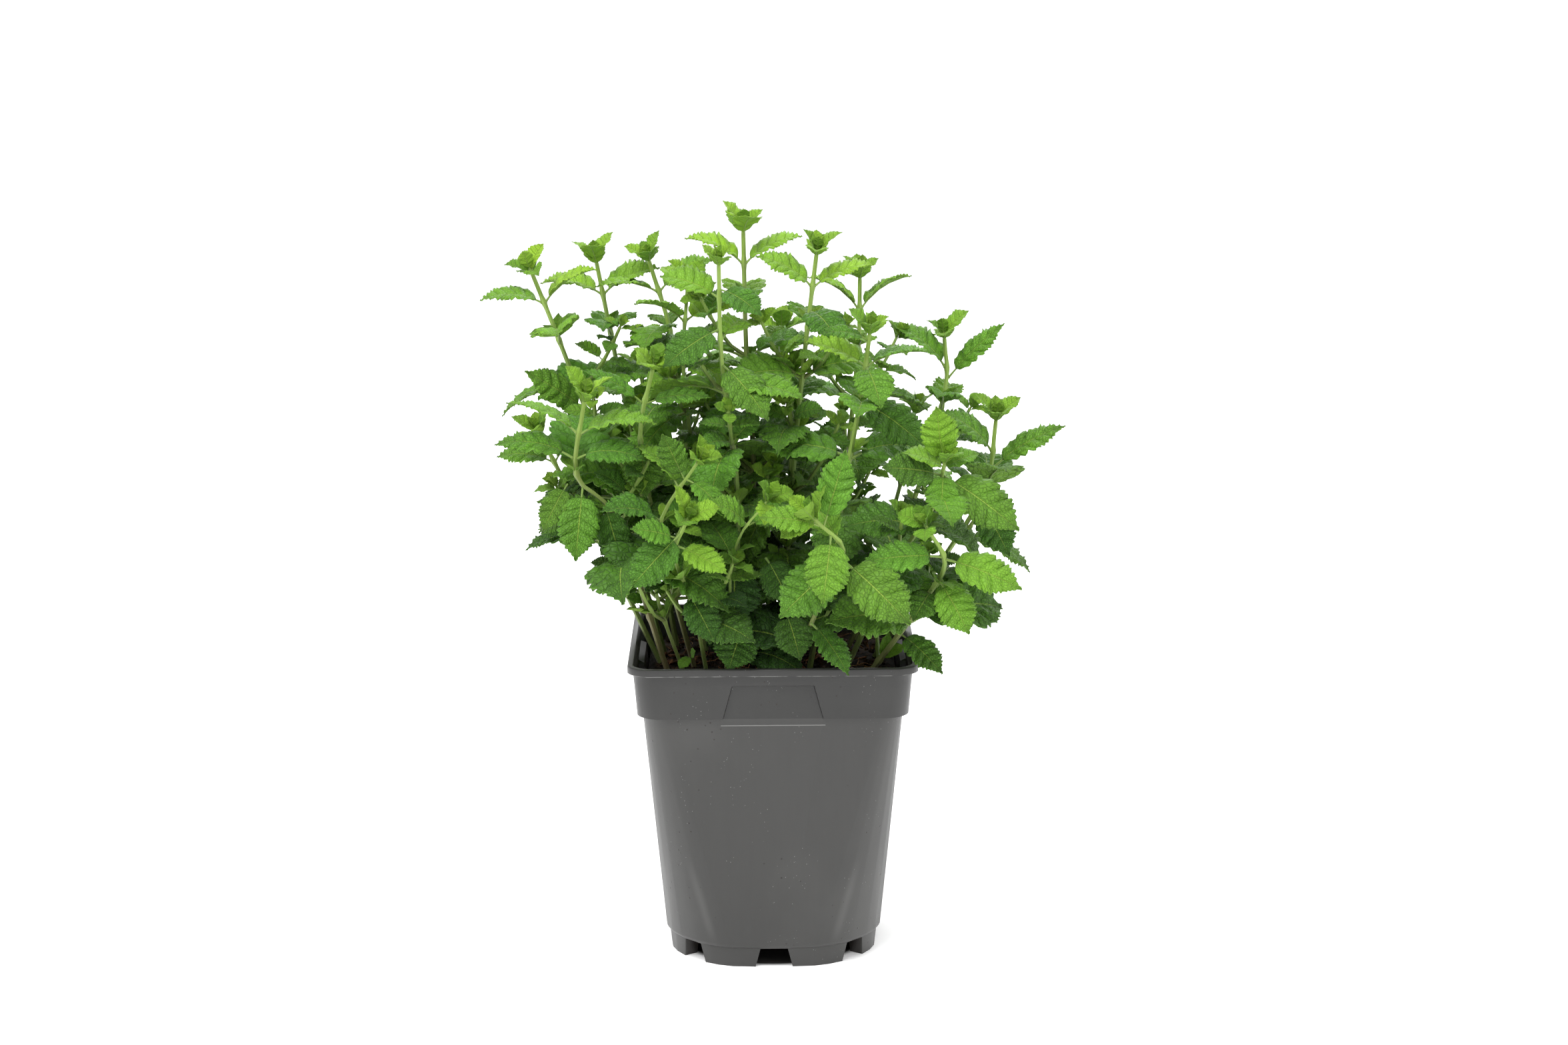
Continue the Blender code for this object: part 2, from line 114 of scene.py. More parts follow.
def deselect_all() -> None:
    """Leave object mode's selection empty."""
    for item in bpy.context.view_layer.objects:
        item.select_set(False)


def make_active(item: bpy.types.Object) -> None:
    """Select one object alone and make it the active one.

    Args:
        item: The object to work on.
    """
    deselect_all()
    item.select_set(True)
    bpy.context.view_layer.objects.active = item


class Bench:
    """Edit mode on one mesh object, whose vertices and faces are picked by a test."""

    def __init__(self, item: bpy.types.Object) -> None:
        """Take the object that is to be shaped."""
        self.item = item

    def __enter__(self) -> "Bench":
        """Open edit mode with nothing picked.

        Returns:
            The bench itself.
        """
        make_active(self.item)
        bpy.ops.object.mode_set(mode="EDIT")
        bpy.ops.mesh.select_mode(type="VERT")
        bpy.ops.mesh.select_all(action="DESELECT")
        return self

    def __exit__(self, *_: object) -> None:
        """Close edit mode."""
        bpy.ops.object.mode_set(mode="OBJECT")

    def pick_rows(self, indices: Iterable[int]) -> None:
        """Pick vertices by their number.

        Args:
            indices: The vertices' numbers.
        """
        mesh = bmesh.from_edit_mesh(self.item.data)
        mesh.verts.ensure_lookup_table()
        for vert in mesh.verts:
            vert.select = False
        for index in indices:
            mesh.verts[index].select = True
        mesh.select_flush_mode()
        bmesh.update_edit_mesh(self.item.data, loop_triangles=False, destructive=False)

    def pick_verts(self, test: Callable[[Vector], bool]) -> None:
        """Pick the vertices whose place passes a test.

        Args:
            test: Takes a vertex's place and says whether it is picked.
        """
        mesh = bmesh.from_edit_mesh(self.item.data)
        for vert in mesh.verts:
            vert.select = test(vert.co)
        mesh.select_flush_mode()
        bmesh.update_edit_mesh(self.item.data)


def finish_with(item: bpy.types.Object, kind: str, **settings: object) -> None:
    """Add one modifier to an object, set it and apply it.

    Args:
        item: The object.
        kind: The modifier's type.
        settings: The modifier's own settings by name.
    """
    make_active(item)
    bpy.ops.object.modifier_add(type=kind)
    modifier = item.modifiers[-1]
    for name, value in settings.items():
        setattr(modifier, name, value)
    bpy.ops.object.modifier_apply(modifier=modifier.name)


def copy_piece(item: bpy.types.Object, name: str) -> bpy.types.Object:
    """Copy an object with a mesh of its own.

    Args:
        item: The object to copy.
        name: The copy's name.

    Returns:
        The copy, linked to the scene.
    """
    copy = item.copy()
    copy.data = item.data.copy()
    copy.name = name
    copy.parent = None
    bpy.context.scene.collection.objects.link(copy)
    return copy


def join_pieces(items: Sequence[bpy.types.Object], name: str) -> bpy.types.Object:
    """Join objects into the first of them.

    Args:
        items: The objects, at least one.
        name: The joined object's name.

    Returns:
        The joined object.
    """
    deselect_all()
    for item in items:
        item.select_set(True)
    bpy.context.view_layer.objects.active = items[0]
    if len(items) > 1:
        bpy.ops.object.join()
    joined = items[0]
    joined.name = name
    joined.data.name = name
    return joined


def mesh_places(mesh: bpy.types.Mesh) -> np.ndarray:
    """A mesh's vertex places as an array of rows."""
    places = np.empty(len(mesh.vertices) * 3)
    mesh.vertices.foreach_get("co", places)
    return places.reshape(-1, 3)


def set_places(mesh: bpy.types.Mesh, places: np.ndarray) -> None:
    """Move a mesh's vertices to the given places."""
    mesh.vertices.foreach_set("co", places.astype(np.float32).ravel())
    mesh.update()


def places_along(reach: float | np.ndarray, lengths: np.ndarray, points: np.ndarray) -> np.ndarray:
    """Places on a line of points.

    Args:
        reach: How far along the line, one length or several.
        lengths: How far along each of its points lies.
        points: The points, one a row.

    Returns:
        The places, one a row.
    """
    return np.stack([np.interp(reach, lengths, points[:, axis]) for axis in range(3)], axis=-1)


def direction(heading: float, rise: float = 0.0) -> Vector:
    """A unit direction.

    Args:
        heading: Its turn from +X towards +Y, degrees.
        rise: Its rise from level, degrees.

    Returns:
        The direction.
    """
    turn, lift = math.radians(heading), math.radians(rise)
    return Vector((math.cos(turn) * math.cos(lift), math.sin(turn) * math.cos(lift), math.sin(lift)))


def mark_points(mesh: bpy.types.Mesh, name: str, value: float | np.ndarray) -> None:
    """Write a point attribute, one value for all points or one for each.

    Args:
        mesh: The mesh to mark.
        name: The attribute's name.
        value: The value, or an array with one value per vertex.
    """
    layer = mesh.attributes.get(name) or mesh.attributes.new(name, "FLOAT", "POINT")
    values = np.full(len(mesh.vertices), value) if np.isscalar(value) else value
    layer.data.foreach_set("value", values.astype(np.float32))


# ---------------------------------------------------------------- finishes


class Board:
    """A material's node tree, filled in by short calls."""

    def __init__(self, name: str) -> None:
        """Start an empty material.

        Args:
            name: The material's name.
        """
        self.material = bpy.data.materials.new(name)
        self.material.use_nodes = True
        self.tree = self.material.node_tree
        self.tree.nodes.clear()

    def node(self, kind: str, inputs: dict | None = None, **settings: object) -> bpy.types.Node:
        """Add a node, set its fields and feed its inputs.

        Args:
            kind: The node's type.
            inputs: Values or sockets by input name or number.
            settings: The node's own fields.

        Returns:
            The new node.
        """
        made = self.tree.nodes.new(kind)
        for name, value in settings.items():
            setattr(made, name, value)
        for key, value in (inputs or {}).items():
            self.feed(made.inputs[key], value)
        return made

    def feed(self, socket: bpy.types.NodeSocket, value: object) -> None:
        """Link a socket to another one, or set it to a value.

        Args:
            socket: The socket to feed.
            value: The other socket, or the value.
        """
        if isinstance(value, bpy.types.NodeSocket):
            self.tree.links.new(value, socket)
        else:
            socket.default_value = value

    def math(self, operation: str, *values: object, clamp: bool = False) -> bpy.types.NodeSocket:
        """A Math node's result.

        Args:
            operation: What the node does.
            values: Its inputs in order.
            clamp: Whether the result is kept between 0 and 1.

        Returns:
            The value socket.
        """
        made = self.node("ShaderNodeMath", operation=operation, use_clamp=clamp)
        for number, value in enumerate(values):
            self.feed(made.inputs[number], value)
        return made.outputs[0]

    def plus(self, first: object, second: object, clamp: bool = False) -> bpy.types.NodeSocket:
        """The sum of two values."""
        return self.math("ADD", first, second, clamp=clamp)

    def minus(self, first: object, second: object) -> bpy.types.NodeSocket:
        """The first value less the second."""
        return self.math("SUBTRACT", first, second)

    def times(self, first: object, second: object) -> bpy.types.NodeSocket:
        """The product of two values."""
        return self.math("MULTIPLY", first, second)

    def rest_of(self, value: object) -> bpy.types.NodeSocket:
        """What a value leaves of 1."""
        return self.minus(1.0, value)

    def away_from(self, value: object, middle: object) -> bpy.types.NodeSocket:
        """How far a value is from a middle one."""
        return self.math("ABSOLUTE", self.minus(value, middle))

    def step(self, value: object, low: float, high: float) -> bpy.types.NodeSocket:
        """A smooth step.

        Args:
            value: What is measured.
            low: Where the step starts, at 0.
            high: Where it ends, at 1.

        Returns:
            The value socket.
        """
        made = self.node("ShaderNodeMapRange", interpolation_type="SMOOTHSTEP")
        for name, given in (("Value", value), ("From Min", low), ("From Max", high)):
            self.feed(made.inputs[name], given)
        return made.outputs[0]

    def mix(self, share: object, first: object, second: object, blend: str = "MIX") -> bpy.types.NodeSocket:
        """A colour mixed from two.

        Args:
            share: How much of the second, 0 to 1.
            first: The colour at 0.
            second: The colour at 1.
            blend: The way that they mix.

        Returns:
            The colour socket.
        """
        made = self.node("ShaderNodeMix", data_type="RGBA", blend_type=blend)
        self.feed(made.inputs[0], share)
        self.feed(made.inputs[6], first)
        self.feed(made.inputs[7], second)
        return made.outputs[2]

    def ramp(self, value: object, stops: Sequence[tuple[float, Colour]]) -> bpy.types.NodeSocket:
        """A colour read from a ramp.

        Args:
            value: Where on the ramp, 0 to 1.
            stops: Places and colours in order.

        Returns:
            The colour socket.
        """
        made = self.node("ShaderNodeValToRGB", {0: value})
        elements = made.color_ramp.elements
        while len(elements) < len(stops):
            elements.new(1.0)
        for element, (place, colour) in zip(elements, stops):
            element.position = place
            element.color = colour
        return made.outputs[0]

    def attribute(self, name: str) -> bpy.types.NodeSocket:
        """A point attribute's value."""
        return self.node("ShaderNodeAttribute", attribute_name=name).outputs["Fac"]

    def noise(self, vector: object, scale: float, detail: float = 3.0) -> bpy.types.NodeSocket:
        """A noise texture's value."""
        inputs = {"Vector": vector, "Scale": scale, "Detail": detail}
        return self.node("ShaderNodeTexNoise", inputs).outputs[0]

    def object_place(self) -> bpy.types.NodeSocket:
        """The surface point's object coordinates."""
        return self.node("ShaderNodeTexCoord").outputs["Object"]

    def bump(self, height: object, distance: float, strength: float = 1.0) -> bpy.types.NodeSocket:
        """A bumped normal.

        Args:
            height: The height socket.
            distance: The height that 1 stands for.
            strength: How much of it is used.

        Returns:
            The normal socket.
        """
        inputs = {"Height": height, "Distance": distance, "Strength": strength}
        return self.node("ShaderNodeBump", inputs).outputs[0]

    def surface(
        self, colour: object, roughness: object, normal: object = None, **constants: float,
    ) -> bpy.types.Node:
        """A Principled shader.

        Args:
            colour: Its base colour.
            roughness: Its roughness.
            normal: Its normal, if it has a bumped one.
            constants: Further inputs by name, with underscores for spaces.

        Returns:
            The shader node.
        """
        inputs = {"Base Color": colour, "Roughness": roughness}
        if normal is not None:
            inputs["Normal"] = normal
        for name, value in constants.items():
            inputs[name.replace("_", " ")] = value
        return self.node("ShaderNodeBsdfPrincipled", inputs)

    def close(self, shader: bpy.types.NodeSocket) -> bpy.types.Material:
        """Wire the shader to the output and hand the material over."""
        self.node("ShaderNodeOutputMaterial", {"Surface": shader})
        return self.material


class LeafSide(Enum):
    """The two faces of a leaf."""

    UPPER = "upper"
    LOWER = "lower"


@dataclass(frozen=True)
class LeafFinish:
    """Mint leaf skin: quilted between its veins, yellow-green when young and bluish when old. Its dark old
    colour stands both for age and for painted shade low in the plant, and its vein creases and fine net
    carry painted shade.
    """

    side: LeafSide
    young: Colour
    grown: Colour
    old: Colour
    vein: Colour
    glow: Colour
    roughness: float
    relief: float                 # height of the quilting
    shine_through: float          # share of light that passes through the blade
    laterals: int = 6
    midrib_half: float = 0.020    # share of the leaf's width
    lateral_half: float = 0.055   # share of the space between two side veins
    cells_across: float = 11.0
    cells_along: float = 21.0
    crease: Colour = (0.62, 0.70, 0.58, 1.0)    # painted shade in the side veins' creases: what they multiply the colour by

    def build(self) -> bpy.types.Material:
        """Build the material from the leaf's own map: across the blade and along it.

        Returns:
            The material.
        """
        board = Board("leaf_%s" % self.side.value)
        chart = board.node("ShaderNodeUVMap", uv_map="UVMap").outputs[0]
        axes = board.node("ShaderNodeSeparateXYZ", {0: chart})
        across, along = axes.outputs[0], axes.outputs[1]
        age = board.attribute(AGE)
        tint = board.attribute(TINT)
        place = board.object_place()
        midrib, lateral = self.veins(board, across, along, place)
        net, pillow = self.network(board, across, along, tint)
        grown_up = board.plus(board.times(age, 0.85), 0.15)
        height = board.times(board.plus(net, pillow), board.times(grown_up, 0.8))
        sign = 1.0 if self.side is LeafSide.LOWER else -1.0
        height = board.plus(height, board.times(lateral, 0.9 * sign))
        height = board.plus(height, board.times(midrib, 1.2 * sign))
        height = board.plus(height, board.times(board.noise(place, 1500.0, 2.0), 0.25))
        normal = board.bump(height, self.relief)
        # the ramp darkens with age, and its dark old end also paints the shade low in the plant
        colour = board.ramp(age, ((0.0, self.young), (0.5, self.grown), (1.0, self.old)))
        patches = board.plus(board.times(board.noise(place, 90.0), 0.5), 0.52)
        shade = board.times(patches, board.plus(board.times(tint, 0.45), 0.95))
        # painted shade in the fine net's lines, deeper on grown leaves
        net_painted_shade = board.times(board.rest_of(net), board.times(grown_up, 0.42))
        shade = board.times(shade, board.rest_of(net_painted_shade))
        colour = board.node("ShaderNodeHueSaturation", {
            "Hue": board.plus(board.times(tint, -0.02), 0.508),
            "Saturation": 1.0,
            "Value": shade,
            "Color": colour,
        }).outputs[0]
        # painted shade in the creases along the side veins
        crease = board.mix(1.0, colour, self.crease, "MULTIPLY")
        colour = board.mix(board.times(lateral, 0.30), colour, crease)
        colour = board.mix(board.times(midrib, 0.62), colour, self.vein)
        skin = board.surface(
            colour, self.roughness, normal, Specular_IOR_Level=0.26, Sheen_Weight=0.05, Sheen_Roughness=0.5,
        )
        through = board.node("ShaderNodeBsdfTranslucent", {
            "Color": board.mix(0.5, colour, self.glow),
            "Normal": normal,
        })
        both = board.node("ShaderNodeMixShader", {
            0: self.shine_through,
            1: skin.outputs[0],
            2: through.outputs[0],
        })
        return board.close(both.outputs[0])

    def veins(
        self, board: Board, across: object, along: object, place: object,
    ) -> tuple[bpy.types.NodeSocket, bpy.types.NodeSocket]:
        """Masks of the midrib and of the side veins.

        Args:
            board: The material's board.
            across: The share of the width, 0 to 1.
            along: The share of the length, 0 to 1, which runs forward to the edge as the veins do.
            place: The object coordinates.

        Returns:
            The midrib's mask and the side veins' mask, 1 on a vein.
        """
        off_middle = board.away_from(across, 0.5)
        midrib = board.rest_of(board.step(off_middle, self.midrib_half * 0.3, self.midrib_half))
        wander = board.times(board.minus(board.noise(place, 220.0), 0.5), 0.5)
        phase = board.plus(board.times(along, float(self.laterals)), wander)
        off_vein = board.away_from(board.math("FRACT", board.plus(phase, 0.5)), 0.5)
        lateral = board.rest_of(board.step(off_vein, self.lateral_half * 0.2, self.lateral_half * 1.6))
        return midrib, lateral

    def network(
        self, board: Board, across: object, along: object, tint: object,
    ) -> tuple[bpy.types.NodeSocket, bpy.types.NodeSocket]:
        """The fine net of veins and the skin that swells between them.

        Args:
            board: The material's board.
            across: The share of the width, 0 to 1.
            along: The share of the length, 0 to 1.
            tint: The leaf's own number, which gives it a net of its own.

        Returns:
            0 in the net's lines and 1 off them, and the same with wide soft lines.
        """
        grid = board.node("ShaderNodeCombineXYZ", {
            0: board.times(across, self.cells_across),
            1: board.times(along, self.cells_along),
            2: board.times(tint, 9.0),
        }).outputs[0]
        cells = board.node(
            "ShaderNodeTexVoronoi", {"Vector": grid, "Scale": 1.0}, feature="DISTANCE_TO_EDGE",
        )
        inside = cells.outputs["Distance"]
        return board.step(inside, 0.0, 0.11), board.step(inside, 0.0, 0.40)


@dataclass(frozen=True)
class StalkFinish:
    """Stem and leaf stalk skin: pale green, browner low down, streaked along its length."""

    green: Colour = (0.205, 0.325, 0.050, 1.0)
    deep: Colour = (0.085, 0.165, 0.018, 1.0)
    brown: Colour = (0.13, 0.095, 0.040, 1.0)
    hair: Colour = (0.30, 0.33, 0.15, 1.0)
    roughness: float = 0.55

    def build(self) -> bpy.types.Material:
        """Build the material from object coordinates and the stem's age.

        Returns:
            The material.
        """
        board = Board("stalk")
        place = board.object_place()
        stretched = board.node("ShaderNodeMapping", {"Vector": place, "Scale": (1.0, 1.0, 0.12)}).outputs[0]
        streaks = board.noise(stretched, 1600.0, 2.0)
        blotches = board.times(board.minus(board.noise(place, 120.0), 0.5), 0.7)
        woody = board.plus(board.attribute(WOOD), blotches, clamp=True)
        colour = board.mix(board.attribute(AGE), self.green, self.deep)
        colour = board.mix(woody, colour, self.brown)
        colour = board.mix(board.times(streaks, 0.22), colour, self.hair)
        normal = board.bump(streaks, 0.15 * MM)
        skin = board.surface(
            colour, self.roughness, normal, Specular_IOR_Level=0.3, Sheen_Weight=0.2, Sheen_Roughness=0.4,
        )
        return board.close(skin.outputs[0])


@dataclass(frozen=True)
class PotFinish:
    """Grey nursery-pot plastic with moulding marks, scuffs and a few dirt specks, with painted shade on the
    skirt and the underside and painted highlights along the lip's lower edge and up the lower corners.
    """

    grey: Colour = (0.0325, 0.0320, 0.0305, 1.0)
    scuff: Colour = (0.10, 0.10, 0.095, 1.0)
    # used for painted highlights and for the pale dust flecks
    highlight_and_dust: Colour = (0.26, 0.26, 0.25, 1.0)
    # used for the dirt specks and for the painted shade on the underside
    dirt_and_shade: Colour = (0.016, 0.013, 0.011, 1.0)
    roughness: float = 0.36
    skirt_from: float = 120.8 * MM      # the skirt band above this height is darkened with painted shade
    skirt_painted_shade: float = 0.62
    seam: float = 117.8 * MM            # height of the mould line under the label recess
    seam_half: float = 23.5 * MM
    flash_highlight: float = 142.0 * MM           # height of the moulding flash under the lip, drawn lighter as a painted highlight
    streak_foot: float = 24.6 * MM      # where the painted sheen streaks meet the ground, from a face's middle
    streak_slope: float = 0.27          # how far they lean outwards
    base_from: float = 40.5 * MM        # the underside, darkened with painted shade, lies inside this distance from the axis
    base_below: float = 9.2 * MM

    def line(self, board: Board, height: object, level: float, half: float) -> bpy.types.NodeSocket:
        """A thin level line round the pot.

        Args:
            board: The material's board.
            height: The height above the ground.
            level: The line's height.
            half: Half its thickness.

        Returns:
            1 on the line and 0 off it.
        """
        return board.rest_of(board.step(board.away_from(height, level), half * 0.5, half))

    def sheen_band(self, board: Board, side: object, height: object) -> bpy.types.NodeSocket:
        """The painted sheen: a light streak that runs up each side of a face from its lower corners.

        Args:
            board: The material's board.
            side: The distance from the face's middle.
            height: The height above the ground.

        Returns:
            1 in the streak's middle and 0 off it.
        """
        middle = board.plus(board.times(height, self.streak_slope), self.streak_foot)
        band = board.rest_of(board.step(board.away_from(side, middle), 0.1 * MM, 3.2 * MM))
        band = board.times(band, board.step(height, 8 * MM, 22 * MM))
        return board.times(band, board.rest_of(board.step(height, 34 * MM, 58 * MM)))

    def flecks(self, board: Board, place: object, cells: float, patches: object) -> bpy.types.NodeSocket:
        """Small round flecks where the patches value is high.

        Args:
            board: The material's board.
            place: The object coordinates.
            cells: How many cells there are in a metre.
            patches: A noise value that gathers the flecks.

        Returns:
            1 on a fleck and 0 off it.
        """
        spots = board.node("ShaderNodeTexVoronoi", {"Vector": place, "Scale": cells}, feature="F1")
        near = board.rest_of(board.step(spots.outputs["Distance"], 0.07, 0.13))
        return board.times(near, board.step(patches, 0.54, 0.60))

    def build(self) -> bpy.types.Material:
        """Build the material from object coordinates.

        Returns:
            The material.
        """
        board = Board("pot_plastic")
        place = board.object_place()
        axes = board.node("ShaderNodeSeparateXYZ", {0: place}).outputs
        across, deep, height = board.math("ABSOLUTE", axes[0]), board.math("ABSOLUTE", axes[1]), axes[2]
        side, reach = board.math("MINIMUM", across, deep), board.math("MAXIMUM", across, deep)
        cloud = board.noise(place, 16.0)
        drawn = board.node("ShaderNodeMapping", {"Vector": place, "Scale": (1.0, 1.0, 0.06)}).outputs[0]
        flow = board.noise(drawn, 320.0, 2.0)
        grain = board.noise(place, 2600.0, 2.0)
        colour = board.mix(board.times(board.step(cloud, 0.45, 0.75), 0.16), self.grey, self.scuff)
        colour = board.mix(board.times(flow, 0.05), colour, self.scuff)
        # painted shade: the skirt band is darkened
        skirt = board.step(height, self.skirt_from, self.skirt_from + 0.4 * MM)
        shade = (self.skirt_painted_shade,) * 3 + (1.0,)
        colour = board.mix(skirt, colour, board.mix(1.0, colour, shade, "MULTIPLY"))
        seam = self.line(board, height, self.seam, 0.3 * MM)
        seam = board.times(seam, board.math("LESS_THAN", side, self.seam_half))
        # the flash line is a painted highlight of the lip's lower edge, broken into patches
        flash_patches = board.step(board.noise(place, 140.0, 2.0), 0.42, 0.58)
        flash_highlight = board.times(self.line(board, height, self.flash_highlight, 0.35 * MM), flash_patches)
        # the seam line and the flash are raised in the bump and drawn lighter: on the flash as a painted
        # highlight
        raised = board.plus(seam, flash_highlight, clamp=True)
        colour = board.mix(board.times(raised, 0.5), colour, self.highlight_and_dust)
        # painted sheen streaks up each face from its lower corners
        colour = board.mix(board.times(self.sheen_band(board, side, height), 0.09), colour, self.highlight_and_dust)
        high_up = board.times(board.step(height, 88 * MM, 106 * MM), 0.07)
        specks = self.flecks(board, place, 230.0, board.plus(board.noise(place, 33.0), high_up))
        colour = board.mix(board.times(specks, 0.9), colour, self.dirt_and_shade)
        dust = self.flecks(board, place, 520.0, board.noise(place, 60.0))
        colour = board.mix(board.times(dust, 0.4), colour, self.highlight_and_dust)
        # painted shade: the underside is darkened
        low_down = board.math("LESS_THAN", height, self.base_below)
        under = board.times(low_down, board.math("LESS_THAN", reach, self.base_from))
        colour = board.mix(board.times(under, 0.85), colour, self.dirt_and_shade)
        rough = board.plus(board.times(cloud, 0.12), self.roughness - 0.05)
        relief = board.plus(board.times(grain, 0.35), board.times(specks, 1.2))
        relief = board.plus(relief, board.times(raised, 3.0))
        normal = board.bump(relief, 0.05 * MM)
        skin = board.surface(colour, rough, normal, Specular_IOR_Level=0.4)
        return board.close(skin.outputs[0])


@dataclass(frozen=True)
class EarthFinish:
    """Peat, bark or fibre: a dark ground with lighter, redder grains."""

    name: str
    dark: Colour
    light: Colour
    grain: float
    roughness: float = 0.95

    def build(self) -> bpy.types.Material:
        """Build the material from object coordinates and the piece's tint.

        Returns:
            The material.
        """
        board = Board(self.name)
        place = board.object_place()
        coarse = board.noise(place, self.grain, 6.0)
        fine = board.noise(place, self.grain * 5.0, 3.0)
        own = board.times(board.attribute(TINT), 0.5)
        share = board.plus(board.step(coarse, 0.45, 0.72), own, clamp=True)
        colour = board.mix(share, self.dark, self.light)
        colour = board.mix(board.times(fine, 0.4), colour, self.dark)
        height = board.plus(coarse, board.times(fine, 0.5))
        normal = board.bump(height, 0.6 * MM)
        skin = board.surface(colour, self.roughness, normal, Specular_IOR_Level=0.2)
        return board.close(skin.outputs[0])


@dataclass(frozen=True)
class FloorFinish:
    """Plain pale floor with a very faint mottle, and painted shade under the pot where it stands."""

    pale: Colour = (0.93, 0.93, 0.93, 1.0)
    mottled: Colour = (0.85, 0.85, 0.85, 1.0)
    white: Colour = (1.0, 1.0, 1.0, 1.0)
    glow: float = 0.16      # light of its own, which takes its far end to white
    shade: Colour = (0.045, 0.042, 0.040, 1.0)
    shade_from: float = 43.0 * MM    # painted shade lies under the pot, inside this distance from the axis
    shade_to: float = 47.5 * MM

    def build(self) -> bpy.types.Material:
        """Build the material from object coordinates.

        Returns:
            The material.
        """
        board = Board("floor_pale")
        place = board.object_place()
        reach = board.node("ShaderNodeVectorMath", {0: place}, operation="LENGTH").outputs["Value"]
        clear = board.step(reach, self.shade_from, self.shade_to)
        mottle = board.times(board.noise(place, 3.0), 0.04)
        colour = board.mix(mottle, self.pale, self.mottled)
        # painted shade under the pot, where the glow is also left out
        colour = board.mix(clear, self.shade, colour)
        glow = board.times(clear, self.glow)
        skin = board.surface(
            colour, 0.8, Specular_IOR_Level=0.1, Emission_Color=self.white, Emission_Strength=glow,
        )
        return board.close(skin.outputs[0])


@dataclass
class Finishes:
    """Every finish of the plant, built once."""

    leaf_upper: bpy.types.Material = field(init=False)
    leaf_lower: bpy.types.Material = field(init=False)
    stalk: bpy.types.Material = field(init=False)
    pot: bpy.types.Material = field(init=False)
    peat: bpy.types.Material = field(init=False)
    bark: bpy.types.Material = field(init=False)
    fibre: bpy.types.Material = field(init=False)
    floor: bpy.types.Material = field(init=False)

    def __post_init__(self) -> None:
        """Build all the materials."""
        self.leaf_upper = LeafFinish(
            side=LeafSide.UPPER,
            young=(0.275, 0.505, 0.026, 1.0),
            grown=(0.152, 0.370, 0.028, 1.0),
            # dark for age, and as painted shade low in the plant
            old=(0.022, 0.078, 0.009, 1.0),
            vein=(0.42, 0.60, 0.09, 1.0),
            glow=(0.42, 0.74, 0.01, 1.0),
            roughness=0.48,
            relief=0.32 * MM,
            shine_through=0.24,
        ).build()
        self.leaf_lower = LeafFinish(
            side=LeafSide.LOWER,
            young=(0.29, 0.51, 0.045, 1.0),
            grown=(0.20, 0.41, 0.045, 1.0),
            # dark for age, and as painted shade low in the plant
            old=(0.09, 0.21, 0.03, 1.0),
            vein=(0.44, 0.58, 0.15, 1.0),
            glow=(0.40, 0.70, 0.02, 1.0),
            roughness=0.62,
            relief=0.26 * MM,
            shine_through=0.22,
        ).build()
        self.stalk = StalkFinish().build()
        self.pot = PotFinish().build()
        self.peat = EarthFinish(
            name="peat", dark=(0.010, 0.006, 0.004, 1.0), light=(0.060, 0.028, 0.013, 1.0), grain=260.0,
        ).build()
        self.bark = EarthFinish(
            name="bark", dark=(0.045, 0.018, 0.008, 1.0), light=(0.26, 0.11, 0.045, 1.0), grain=420.0,
            roughness=0.85,
        ).build()
        self.fibre = EarthFinish(
            name="fibre", dark=(0.10, 0.045, 0.018, 1.0), light=(0.42, 0.22, 0.10, 1.0), grain=500.0,
            roughness=0.8,
        ).build()
        self.floor = FloorFinish().build()


# ---------------------------------------------------------------- leaves


class LeafKind(Enum):
    """The leaf shapes that the plant bears."""

    BROAD = "broad"
    LONG = "long"
    YOUNG = "young"
    CROWN = "crown"
    BUD = "bud"


